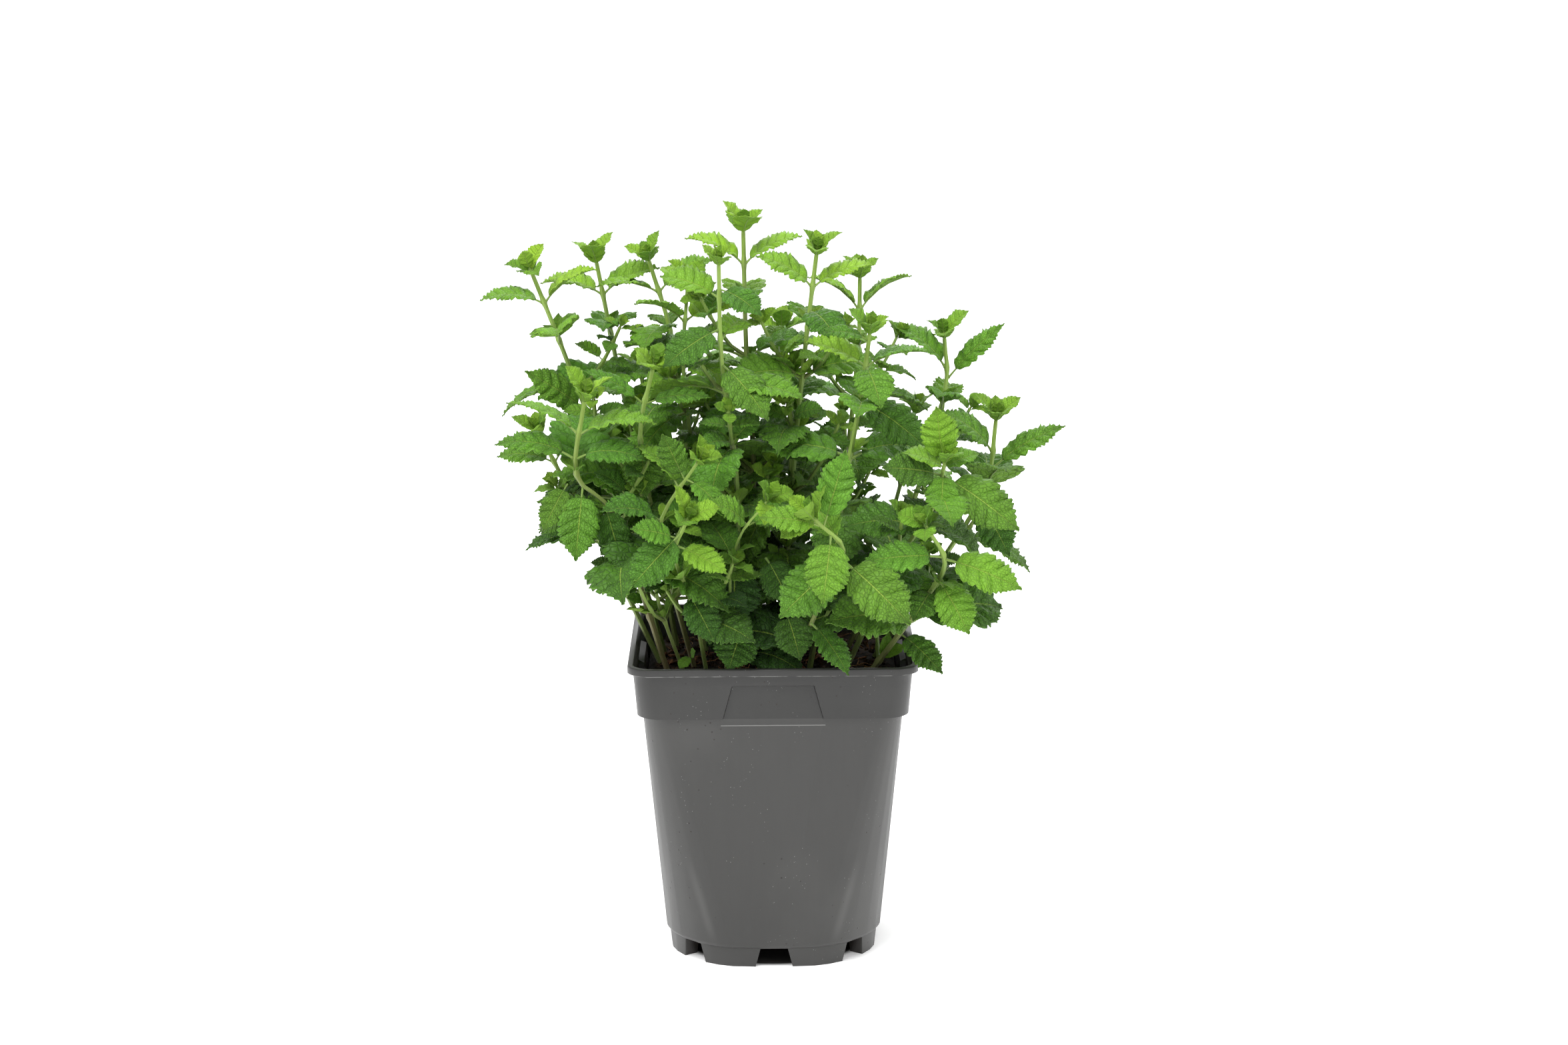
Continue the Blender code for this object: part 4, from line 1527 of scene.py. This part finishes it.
class Plant:
    """All the shoots, with their stems, leaves and crowns."""

    TOP_LIFT = 44.0
    LIFT_STEP = 8.0
    TOP_ARCH = 50.0
    ARCH_STEP = 7.0
    CROWN = (      # of each pair: length mm, lift and arch in degrees, rise above the stem's top mm, shape
        (17.5, 40.0, 46.0, 0.0, LeafKind.CROWN),
        (14.5, 64.0, 34.0, 1.8, LeafKind.CROWN),
        (9.5, 72.0, 16.0, 3.2, LeafKind.CROWN),
        (5.5, 80.0, 0.0, 4.2, LeafKind.BUD),
    )
    STAND_IN_REACH = 9.0 * MM                   # a trained leaf stands for one this near it in height
    BRANCH_CHANCE = 0.58
    HIGHEST_BRANCH = 0.70                       # share of the plant's height
    LIGHT_PULL = Vector((0.0, -0.62, 0.18))    # the way that leaves turn their upper sides
    MOST_CROWDED = 3.2                          # a free leaf that finds no better place is left out
    SLACK = Vector((11.0, 9.0, 12.0)) * MM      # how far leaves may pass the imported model's box

    def __init__(self, frame: dict, finishes: Finishes, box: tuple[Vector, Vector], seed: int = 7) -> None:
        """Read the shoots and make the patterns.

        Args:
            frame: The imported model.
            finishes: The plant's finishes.
            box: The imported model's lowest and highest corners.
            seed: Where the plant's random draws start.
        """
        self.frame = frame
        self.shop = LeafShop(finishes)
        self.maker = StemMaker()
        self.twig_maker = StemMaker(
            rings=26, foot_half=0.85 * MM, tip_half=0.6 * MM, knot_reach=1.2 * MM, core=3.5 * MM,
        )
        self.straight = self.maker.model(finishes)
        self.straight_twig = self.twig_maker.model(finishes)
        low, high = box
        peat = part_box("root_ball")[1].z
        self.room = LeafRoom(low - self.SLACK, high + self.SLACK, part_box("pot")[1], peat)
        labels = sorted(name[5:] for name in frame["nodes"] if name.startswith("stem_"))
        self.shoots = [
            Shoot.of_frame(label, frame, random.Random(seed * 100 + int(label))) for label in labels
        ]
        self.age_span = (peat, high.z)
        for shoot in self.shoots:
            self.room.add_line(shoot.line)

    def build(self) -> list[bpy.types.Object]:
        """Build every shoot.

        Returns:
            The finished pieces.
        """
        grown: dict[str, list[bpy.types.Object]] = {shoot.label: [] for shoot in self.shoots}
        twigs: dict[str, list[bpy.types.Object]] = {shoot.label: [] for shoot in self.shoots}
        for trained in TRAINED_LEAVES:
            shoot = next(item for item in self.shoots if item.label == trained.shoot)
            pattern = next(item for item in LEAF_PATTERNS if item.kind is trained.kind)
            pose = trained.pose(shoot.line, pattern.half_width)
            grown[shoot.label].append(self.place(shoot, trained.kind, pose, trained.age))
        for shoot in self.shoots:
            for pair in shoot.cad_pairs:
                grown[shoot.label] += self.known_pair(shoot, pair)
            grown[shoot.label] += self.crown(shoot)
        for pair in range(max(len(shoot.pairs()) for shoot in self.shoots)):
            for shoot in self.shoots:
                if pair in shoot.pairs() and pair not in shoot.cad_pairs:
                    grown[shoot.label] += self.free_pair(shoot, pair)
        for shoot in self.shoots:
            for branch in self.branches(shoot):
                twigs[shoot.label].append(self.stem_of(branch, self.twig_maker, self.straight_twig))
                for pair in branch.pairs():
                    grown[shoot.label] += self.free_pair(branch, pair)
                grown[shoot.label] += self.crown(branch)
            grown[shoot.label] += self.side_buds(shoot)
        pieces = []
        for shoot in self.shoots:
            stem = self.stem_of(shoot, self.maker, self.straight)
            stem = join_pieces([stem] + twigs[shoot.label], "shoot_%s_stem" % shoot.label)
            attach(stem, BODY)
            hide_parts("stem_%s" % shoot.label)
            leaves = join_pieces(grown[shoot.label], "shoot_%s_leaves" % shoot.label)
            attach(leaves, BODY)
            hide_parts(*shoot.cad_pairs.values())
            pieces += [stem, leaves]
        self.shop.clear_away()
        bpy.data.objects.remove(self.straight)
        bpy.data.objects.remove(self.straight_twig)
        return pieces

    def stem_of(self, shoot: Shoot, maker: StemMaker, straight: bpy.types.Object) -> bpy.types.Object:
        """Lay a shoot's stem, thickened where its leaf pairs sit."""
        depths = [shoot.depth(pair) for pair in shoot.pairs()]
        name = "stem_of_%s" % shoot.label
        return maker.lay(straight, shoot.line, depths, shoot.turn, shoot.brown, shoot.girth, name)

    def age_at(self, height: float, shoot: Shoot) -> float:
        """A leaf's age: old low down in the plant, young near the top; the darker colour that comes with it
        low down is also painted shade.

        Args:
            height: The leaf's height above the ground.
            shoot: Its shoot.

        Returns:
            The age, about 0 to 1.
        """
        low, high = self.age_span
        share = (height - low) / (high - low)
        return 1.0 - 0.84 * share + shoot.rng.uniform(-0.13, 0.13)

    def place(self, shoot: Shoot, kind: LeafKind, pose: LeafPose, age: float) -> bpy.types.Object:
        """Cut a leaf and note the room that it takes."""
        self.room.add(pose.shape(PROBES))
        return self.shop.cut(kind, pose, age, shoot.rng.random())

    def stands_for(self, shoot: Shoot, height: float, heading: float, turn: float = 60.0) -> bool:
        """Whether a trained leaf already grows at about this place on a shoot.

        Args:
            shoot: The shoot.
            height: The place's height.
            heading: The leaf's heading, degrees.
            turn: How far the headings may differ, degrees.

        Returns:
            True if one does.
        """
        for trained in TRAINED_LEAVES:
            apart = (trained.heading - heading + 180.0) % 360.0 - 180.0
            level = abs(trained.height * MM - height) < self.STAND_IN_REACH
            if trained.shoot == shoot.label and level and abs(apart) < turn:
                return True
        return False

    def known_pair(self, shoot: Shoot, pair: int) -> list[bpy.types.Object]:
        """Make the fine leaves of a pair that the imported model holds, ending on its tips.

        Args:
            shoot: The shoot.
            pair: The pair's number.

        Returns:
            The leaves, without those that a trained leaf stands for.
        """
        depth = shoot.depth(pair)
        centre = shoot.line.at(depth)
        up = shoot.line.lean(depth).lerp(Vector((0, 0, 1)), 0.3).normalized()
        leaves = []
        for tip in shoot.cad_tips(pair, self.frame):
            run = (tip - centre).normalized()
            pose = LeafPose(
                base=centre + run * 0.6 * MM,
                tip=tip,
                face=(up + self.LIGHT_PULL * shoot.rng.uniform(-0.1, 0.95)).normalized(),
                arch=self.TOP_ARCH + self.ARCH_STEP * pair,
                fold=shoot.rng.uniform(8, 20),
                twist=shoot.rng.uniform(-16, 16),
                wave=shoot.rng.uniform(0.008, 0.022),
                width=shoot.rng.uniform(1.0, 1.2),
                sway=shoot.rng.uniform(-0.03, 0.03),
            )
            kind, age = self.kind_of(shoot, pair), self.age_at(centre.z, shoot) - 0.12 * (pair == 0)
            if not self.stands_for(shoot, centre.z, math.degrees(math.atan2(run.y, run.x)), 45.0):
                leaves.append(self.place(shoot, kind, pose, age))
        return leaves

    def kind_of(self, shoot: Shoot, pair: int) -> LeafKind:
        """The leaf shape that a pair has."""
        if pair == 0:
            return LeafKind.YOUNG
        return LeafKind.BROAD if shoot.rng.random() < 0.6 else LeafKind.LONG

    def free_pair(self, shoot: Shoot, pair: int) -> list[bpy.types.Object]:
        """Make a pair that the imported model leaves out, each leaf turned to where there is room.

        Args:
            shoot: The shoot.
            pair: The pair's number.

        Returns:
            The leaves, without those that a trained leaf stands for.
        """
        depth = shoot.depth(pair) + shoot.rng.uniform(-1.0, 1.0) * MM
        centre = shoot.line.at(depth)
        up = shoot.line.lean(depth).lerp(Vector((0, 0, 1)), 0.3).normalized()
        leaves = []
        for side in (0.0, 180.0):
            length = shoot.leaf_length(pair) * shoot.rng.uniform(0.85, 1.08)
            fold, twist = shoot.rng.uniform(6, 20), shoot.rng.uniform(-20, 20)
            width, sway = shoot.rng.uniform(0.95, 1.15), shoot.rng.uniform(-0.04, 0.04)
            heading = shoot.turn + 90.0 * pair + side
            best, least = None, math.inf
            for turn in (0.0, 14.0, -14.0, 28.0, -28.0, 42.0, -42.0):
                for tilt in (0.0, 12.0, -12.0, -26.0):
                    pose = self.arc_pose(
                        centre, up, heading + turn, self.TOP_LIFT - self.LIFT_STEP * pair + tilt,
                        self.TOP_ARCH + self.ARCH_STEP * pair - tilt * 0.4, length,
                    )
                    cost = self.room.crowding(pose) + abs(turn) * 0.012 + abs(tilt) * 0.012
                    if cost < least:
                        best, least = pose, cost
            best.face = (best.face + self.LIGHT_PULL * shoot.rng.uniform(0.3, 0.9)).normalized()
            best.fold, best.twist, best.width, best.sway = fold, twist, width, sway
            kind, age = self.kind_of(shoot, pair), self.age_at(centre.z, shoot)
            if least < self.MOST_CROWDED and not self.stands_for(shoot, centre.z, heading):
                leaves.append(self.place(shoot, kind, best, age))
        return leaves

    @staticmethod
    def arc_pose(
        centre: Vector, up: Vector, heading: float, lift: float, arch: float, length: float,
    ) -> LeafPose:
        """Work out a leaf's pose from the way that it grows.

        Args:
            centre: The stem's middle at the leaf.
            up: The way that the stem grows there.
            heading: The leaf's heading round the stem, degrees.
            lift: How far it rises from level at its base, degrees.
            arch: How far its midrib turns down by the tip, degrees; up if negative.
            length: The leaf's length with its stalk.

        Returns:
            The pose.
        """
        out = direction(heading)
        out = (out - up * out.dot(up)).normalized()
        half = math.radians(arch) / 2.0
        slope = math.radians(lift) - half
        chord = length * (math.sin(half) / half if abs(half) > 0.01 else 1.0)
        ahead = out * math.cos(slope) + up * math.sin(slope)
        face = up * math.cos(slope) - out * math.sin(slope)
        base = centre + out * 0.6 * MM
        return LeafPose(base=base, tip=base + ahead * chord, face=face, arch=arch)

    def crown(self, shoot: Shoot) -> list[bpy.types.Object]:
        """Make the small folded leaves at a shoot's top.

        Args:
            shoot: The shoot.

        Returns:
            The crown's leaves.
        """
        leaves = []
        up = shoot.line.lean(2 * MM)
        top = shoot.line.at(0.0)
        scale = min(shoot.size, 1.0) * shoot.rng.uniform(0.86, 1.04)
        opened = shoot.rng.uniform(-12, 14)
        low, high = self.age_span
        age = 0.13 + 0.30 * (high - top.z) / (high - low)
        for number, (length, lift, arch, rise, kind) in enumerate(self.CROWN):
            for side in (0.0, 180.0):
                pose = self.arc_pose(
                    top + up * rise * scale * MM, up,
                    shoot.turn - 90.0 * (number + 1) + side + shoot.rng.uniform(-12, 12),
                    lift - opened / (number + 1) + shoot.rng.uniform(-10, 8),
                    arch + shoot.rng.uniform(-14, 16),
                    length * scale * MM * shoot.rng.uniform(0.78, 1.18),
                )
                pose.face = (pose.face + self.LIGHT_PULL * shoot.rng.uniform(0.5, 1.2)).normalized()
                pose.fold = shoot.rng.uniform(10, 26)
                pose.twist = shoot.rng.uniform(-24, 24)
                pose.wave = shoot.rng.uniform(0.012, 0.035)
                pose.curl = 0.015
                own_age = age - 0.05 * number + shoot.rng.uniform(-0.05, 0.08)
                leaves.append(self.place(shoot, kind, pose, own_age))
        return leaves

    def branches(self, shoot: Shoot) -> list[Shoot]:
        """Grow side shoots from the lower leaf corners, as short shoots of their own.

        Args:
            shoot: The main shoot.

        Returns:
            The side shoots.
        """
        grown = []
        low, high = self.age_span
        highest = low + self.HIGHEST_BRANCH * (high - low)
        for pair in shoot.pairs()[2:]:
            for side in (0.0, 180.0):
                if shoot.rng.random() > self.BRANCH_CHANCE:
                    continue
                centre = shoot.line.at(shoot.depth(pair))
                if centre.z > highest:
                    continue
                heading = math.radians(shoot.turn + 90.0 * pair + side + shoot.rng.uniform(-20, 20))
                out = Vector((math.cos(heading), math.sin(heading), 0.0))
                reach = shoot.rng.uniform(16.0, 30.0) * MM
                rise = shoot.rng.uniform(0.75, 1.1)
                points = []
                for share in (0.0, 0.25, 0.5, 0.75, 1.0):
                    climb = Vector((0, 0, reach * rise * share ** 1.2))
                    points.append(centre + out * reach * 0.75 * share ** 0.75 + climb)
                line = StemLine(np.array(points))
                branch = Shoot(
                    "%s_%d" % (shoot.label, len(grown)), line, shoot.rng, turn=math.degrees(heading) + 90.0,
                    size=shoot.rng.uniform(0.48, 0.66), pitch=0.55, bare_foot=6 * MM,
                )
                if self.room.crowding_at(points[-1]) < 0.8:
                    self.room.add_line(line)
                    grown.append(branch)
        return grown

    def side_buds(self, shoot: Shoot) -> list[bpy.types.Object]:
        """Make the small new leaves in the corners between the stem and its leaves.

        Args:
            shoot: The shoot.

        Returns:
            The small leaves.
        """
        leaves = []
        for pair in shoot.pairs()[1:]:
            for side in (0.0, 180.0):
                if shoot.rng.random() < 0.35:
                    continue
                depth = shoot.depth(pair)
                centre = shoot.line.at(depth - 1.5 * MM)
                heading = shoot.turn + 90.0 * pair + side
                for spread in (-42.0, 42.0):
                    pose = self.arc_pose(
                        centre, shoot.line.lean(depth), heading + spread + shoot.rng.uniform(-8, 8),
                        shoot.rng.uniform(42, 68), shoot.rng.uniform(5, 40), shoot.rng.uniform(6, 13) * MM,
                    )
                    pose.fold = shoot.rng.uniform(18, 34)
                    leaves.append(self.place(shoot, LeafKind.BUD, pose, 0.18 + shoot.rng.uniform(0.0, 0.2)))
        return leaves


# ---------------------------------------------------------------- pot and peat


@dataclass
class Pot:
    """The square nursery pot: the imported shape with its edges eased."""

    finishes: Finishes
    edge: float = 0.30 * MM
    weld: float = 0.02 * MM
    crease: float = math.radians(28)

    def build(self, frame: dict) -> bpy.types.Object:
        """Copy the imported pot, weld it and ease its edges.

        Args:
            frame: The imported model.

        Returns:
            The fine pot.
        """
        pot = copy_piece(frame["nodes"]["pot"], "nursery_pot")
        pot.data.materials.clear()
        pot.data.materials.append(self.finishes.pot)
        with Bench(pot):
            bpy.ops.mesh.select_all(action="SELECT")
            bpy.ops.mesh.remove_doubles(threshold=self.weld)
            bpy.ops.mesh.dissolve_limited(angle_limit=math.radians(1.0))
        finish_with(
            pot, "BEVEL", width=self.edge, segments=2, limit_method="ANGLE", angle_limit=self.crease,
            use_clamp_overlap=True, harden_normals=False,
        )
        make_active(pot)
        bpy.ops.object.shade_smooth_by_angle(angle=math.radians(35))
        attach(pot, BODY)
        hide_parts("pot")
        return pot


@dataclass
class Peat:
    """The root ball with a crumbly top, and the chips and fibres that lie on it."""

    finishes: Finishes
    voxel: float = 1.5 * MM
    crumble: float = 4.0 * MM
    rough_depth: float = 6.0 * MM    # how far down from its top the ball is rough
    calm_edge: float = 4.0 * MM      # the roughness fades out this far inside the pot's walls
    crumbs: int = 620
    chips: int = 90
    fibres: int = 70
    seed: int = 11

    def build(self, frame: dict) -> list[bpy.types.Object]:
        """Build the peat.

        Args:
            frame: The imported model.

        Returns:
            The pieces.
        """
        self.low, self.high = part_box("root_ball")
        self.rng = random.Random(self.seed)
        ball = self.crumbly_ball(frame)
        tree = self.surface_heights(ball)
        pieces = [ball, self.scatter_crumbs(tree), self.scatter_chips(tree), self.scatter_fibres(tree)]
        for piece in pieces:
            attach(piece, BODY)
        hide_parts("root_ball")
        return pieces

    def crumbly_ball(self, frame: dict) -> bpy.types.Object:
        """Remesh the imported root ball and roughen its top.

        Args:
            frame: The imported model.

        Returns:
            The ball.
        """
        ball = copy_piece(frame["nodes"]["root_ball"], "peat_ball")
        ball.data.materials.clear()
        ball.data.materials.append(self.finishes.peat)
        with Bench(ball):
            bpy.ops.mesh.select_all(action="SELECT")
            bpy.ops.mesh.remove_doubles(threshold=0.02 * MM)
        finish_with(ball, "REMESH", mode="VOXEL", voxel_size=self.voxel, use_smooth_shade=True)
        top = ball.vertex_groups.new(name="top")
        for vert in ball.data.vertices:
            x, y, z = vert.co
            inside = min(x - self.low.x, self.high.x - x, y - self.low.y, self.high.y - y)
            if z > self.high.z - self.rough_depth and inside > 0:
                top.add([vert.index], min(1.0, inside / self.calm_edge), "REPLACE")
        for size, height in ((14.0 * MM, 1.0), (4.5 * MM, 0.9), (2.2 * MM, 0.5)):
            cloud = bpy.data.textures.new("peat_lumps", "CLOUDS")
            cloud.noise_scale = size
            cloud.noise_depth = 2
            finish_with(
                ball, "DISPLACE", texture=cloud, texture_coords="LOCAL", direction="Z",
                mid_level=0.5, strength=self.crumble * height, vertex_group="top",
            )
        mark_points(ball.data, TINT, 0.0)
        return ball

    def surface_heights(self, ball: bpy.types.Object) -> Callable[[float, float], float]:
        """Read the peat's height.

        Args:
            ball: The root ball.

        Returns:
            A function that gives the height at a place.
        """
        bpy.context.view_layer.update()
        top = self.high.z + 20 * MM

        def height(x: float, y: float) -> float:
            """Height of the peat below a point."""
            hit, spot, _, _ = ball.ray_cast(Vector((x, y, top)), Vector((0, 0, -1)))
            return spot.z if hit else self.high.z

        return height

    def spot(self, height: Callable[[float, float], float], margin: float = 5 * MM) -> Vector:
        """A random place on the peat, inside the pot's rounded corners.

        Args:
            height: Gives the peat's height.
            margin: How far it stays inside the walls.

        Returns:
            The place.
        """
        while True:
            x = self.rng.uniform(self.low.x + margin, self.high.x - margin)
            y = self.rng.uniform(self.low.y + margin, self.high.y - margin)
            shares = (abs(x) / (self.high.x - margin), abs(y) / (self.high.y - margin))
            if shares[0] ** 6 + shares[1] ** 6 < 1.0:
                return Vector((x, y, height(x, y)))

    def scatter(
        self, pattern: bpy.types.Object, count: int, height: Callable, sizes: tuple[float, float],
        stretch: Sequence[float], tilt: float, name: str,
    ) -> bpy.types.Object:
        """Copy a small shape over the peat.

        Args:
            pattern: The shape, about 1 across; it is removed at the end.
            count: How many copies.
            height: Gives the peat's height.
            sizes: The smallest and the largest copy's size.
            stretch: How far each axis may be drawn out.
            tilt: How far a copy may lean, radians.
            name: The joined piece's name.

        Returns:
            The joined piece.
        """
        copies = []
        local = mesh_places(pattern.data)
        for _ in range(count):
            size = self.rng.uniform(*sizes)
            scale = np.array([size * self.rng.uniform(1.0, share) for share in stretch])
            turn = Matrix.Rotation(self.rng.uniform(0, math.tau), 3, "Z")
            turn = turn @ Matrix.Rotation(self.rng.uniform(-tilt, tilt), 3, "X")
            turn = turn @ Matrix.Rotation(self.rng.uniform(-tilt, tilt), 3, "Y")
            place = self.spot(height)
            copy = copy_piece(pattern, name)
            turned = (local * scale) @ np.array(turn.transposed())
            set_places(copy.data, turned + np.array(place) + np.array((0, 0, size * 0.15)))
            mark_points(copy.data, TINT, self.rng.random())
            copies.append(copy)
        bpy.data.objects.remove(pattern)
        return join_pieces(copies, name)

    def scatter_crumbs(self, height: Callable) -> bpy.types.Object:
        """Small rough lumps of peat.

        Args:
            height: Gives the peat's height.

        Returns:
            The lumps, joined.
        """
        deselect_all()
        bpy.ops.mesh.primitive_ico_sphere_add(subdivisions=1, radius=0.5)
        crumb = bpy.context.object
        with Bench(crumb) as bench:
            bench.pick_verts(lambda co: co.x > 0.2)
            bpy.ops.transform.translate(value=(0.12, -0.06, 0.08))
            bench.pick_verts(lambda co: co.y < -0.3)
            bpy.ops.transform.resize(value=(0.7, 1.0, 0.8), center_override=(0, 0, 0))
        crumb.data.materials.append(self.finishes.peat)
        sizes = (0.8 * MM, 2.6 * MM)
        return self.scatter(crumb, self.crumbs, height, sizes, (1.8, 1.3, 1.0), 1.2, "peat_crumbs")

    def scatter_chips(self, height: Callable) -> bpy.types.Object:
        """Flat bark chips with bevelled edges.

        Args:
            height: Gives the peat's height.

        Returns:
            The chips, joined.
        """
        deselect_all()
        bpy.ops.mesh.primitive_cube_add(size=1.0)
        chip = bpy.context.object
        with Bench(chip) as bench:
            bpy.ops.mesh.select_all(action="SELECT")
            bpy.ops.transform.resize(value=(1.0, 0.45, 0.16))
            bench.pick_verts(lambda co: co.x > 0.4)
            bpy.ops.transform.resize(value=(1.0, 0.45, 0.6), center_override=(0.5, 0.05, 0.0))
            bpy.ops.transform.translate(value=(0.1, 0.08, 0.06))
        chip.data.materials.append(self.finishes.bark)
        finish_with(chip, "BEVEL", width=0.05, segments=1, limit_method="ANGLE")
        sizes = (2.5 * MM, 6.0 * MM)
        return self.scatter(chip, self.chips, height, sizes, (1.5, 1.2, 1.3), 0.7, "bark_chips")

    def scatter_fibres(self, height: Callable) -> bpy.types.Object:
        """Thin bent coir fibres.

        Args:
            height: Gives the peat's height.

        Returns:
            The fibres, joined.
        """
        deselect_all()
        bpy.ops.mesh.primitive_circle_add(
            vertices=4, radius=0.018, fill_type="NGON", rotation=(0, math.pi / 2, 0), location=(-0.5, 0, 0),
        )
        fibre = bpy.context.object
        bpy.ops.object.transform_apply(location=True, rotation=True, scale=True)
        steps = 7
        with Bench(fibre):
            bpy.ops.mesh.select_all(action="SELECT")
            for step in range(steps):
                run = (1.0 / steps, 0.09 * math.cos(step * 1.1), 0.05 * math.sin(step * 1.6))
                bpy.ops.mesh.extrude_region_move(TRANSFORM_OT_translate={"value": run})
            bpy.ops.mesh.select_all(action="SELECT")
            bpy.ops.mesh.normals_make_consistent(inside=False)
        fibre.data.materials.append(self.finishes.fibre)
        sizes = (6.0 * MM, 15.0 * MM)
        return self.scatter(fibre, self.fibres, height, sizes, (1.2, 1.6, 1.2), 0.35, "peat_fibres")


# ---------------------------------------------------------------- studio


@dataclass(frozen=True)
class Studio:
    """Camera, soft lights, pale world and floor."""

    finishes: Finishes
    distance: float = 1457.5 * MM
    elevation: float = 11.7       # degrees
    yaw: float = 0.62
    roll: float = 0.25
    lens: float = 72.42           # on a 36 mm sensor
    target_side: float = 5.9 * MM
    target_height: float = 198.7 * MM

    def place_camera(self) -> bpy.types.Object:
        """Set the camera up in front of the pot.

        Returns:
            The camera.
        """
        rise, yaw, roll = (math.radians(angle) for angle in (self.elevation, self.yaw, self.roll))
        ahead = Vector((math.sin(yaw) * math.cos(rise), math.cos(yaw) * math.cos(rise), -math.sin(rise)))
        target = Vector((self.target_side, 0.0, self.target_height))
        level_right = ahead.cross(Vector((0, 0, 1))).normalized()
        level_up = level_right.cross(ahead)
        right = level_right * math.cos(roll) - level_up * math.sin(roll)
        up = level_right * math.sin(roll) + level_up * math.cos(roll)
        data = bpy.data.cameras.new("camera")
        data.lens = self.lens
        data.sensor_width = 36.0
        data.clip_start, data.clip_end = 0.05, 50.0
        camera = bpy.data.objects.new("camera", data)
        bpy.context.scene.collection.objects.link(camera)
        turn = Matrix((right, up, -ahead)).transposed().to_4x4()
        camera.matrix_world = Matrix.Translation(target - ahead * self.distance) @ turn
        bpy.context.scene.camera = camera
        return camera

    def place_lights(self) -> None:
        """Hang three large soft lights."""
        lights = (
            ("key", (-0.7, -0.9, 1.8), 1.3, 40.0),
            ("fill", (1.3, -1.0, 0.8), 1.0, 8.0),
            ("back", (0.3, 1.4, 1.4), 1.4, 18.0),
        )
        for name, place, size, power in lights:
            data = bpy.data.lights.new(name, "AREA")
            data.shape = "SQUARE"
            data.size = size
            data.energy = power
            lamp = bpy.data.objects.new(name, data)
            lamp.location = place
            aim = Vector((0.0, 0.0, 0.2)) - Vector(place)
            lamp.rotation_euler = aim.to_track_quat("-Z", "Y").to_euler()
            bpy.context.scene.collection.objects.link(lamp)

    def light_world(self) -> None:
        """Light the scene from all round with a pale sky."""
        world = bpy.data.worlds.new("studio")
        world.use_nodes = True
        background = world.node_tree.nodes["Background"]
        background.inputs[0].default_value = (1.0, 1.0, 1.0, 1.0)
        background.inputs[1].default_value = 1.0
        bpy.context.scene.world = world
        bpy.context.scene.view_settings.view_transform = "Standard"

    def lay_floor(self) -> bpy.types.Object:
        """Lay the pale floor.

        Returns:
            The floor.
        """
        deselect_all()
        bpy.ops.mesh.primitive_grid_add(x_subdivisions=8, y_subdivisions=8, size=24.0)
        floor = bpy.context.object
        floor.name = "floor"
        floor.data.materials.append(self.finishes.floor)
        floor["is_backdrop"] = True
        return floor


def main() -> None:
    """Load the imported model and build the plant's looks around it."""
    logging.basicConfig(level=logging.INFO, format="%(name)s: %(message)s")
    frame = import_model()
    cad_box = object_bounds()
    finishes = Finishes()
    studio = Studio(finishes)
    studio.place_camera()
    studio.place_lights()
    studio.light_world()
    studio.lay_floor()
    pieces = [Pot(finishes).build(frame)]
    pieces += Peat(finishes).build(frame)
    pieces += Plant(frame, finishes, cad_box).build()
    for piece in pieces:
        log.info("%s: %d faces", piece.name, len(piece.data.polygons))


if __name__ == "__main__":
    main()
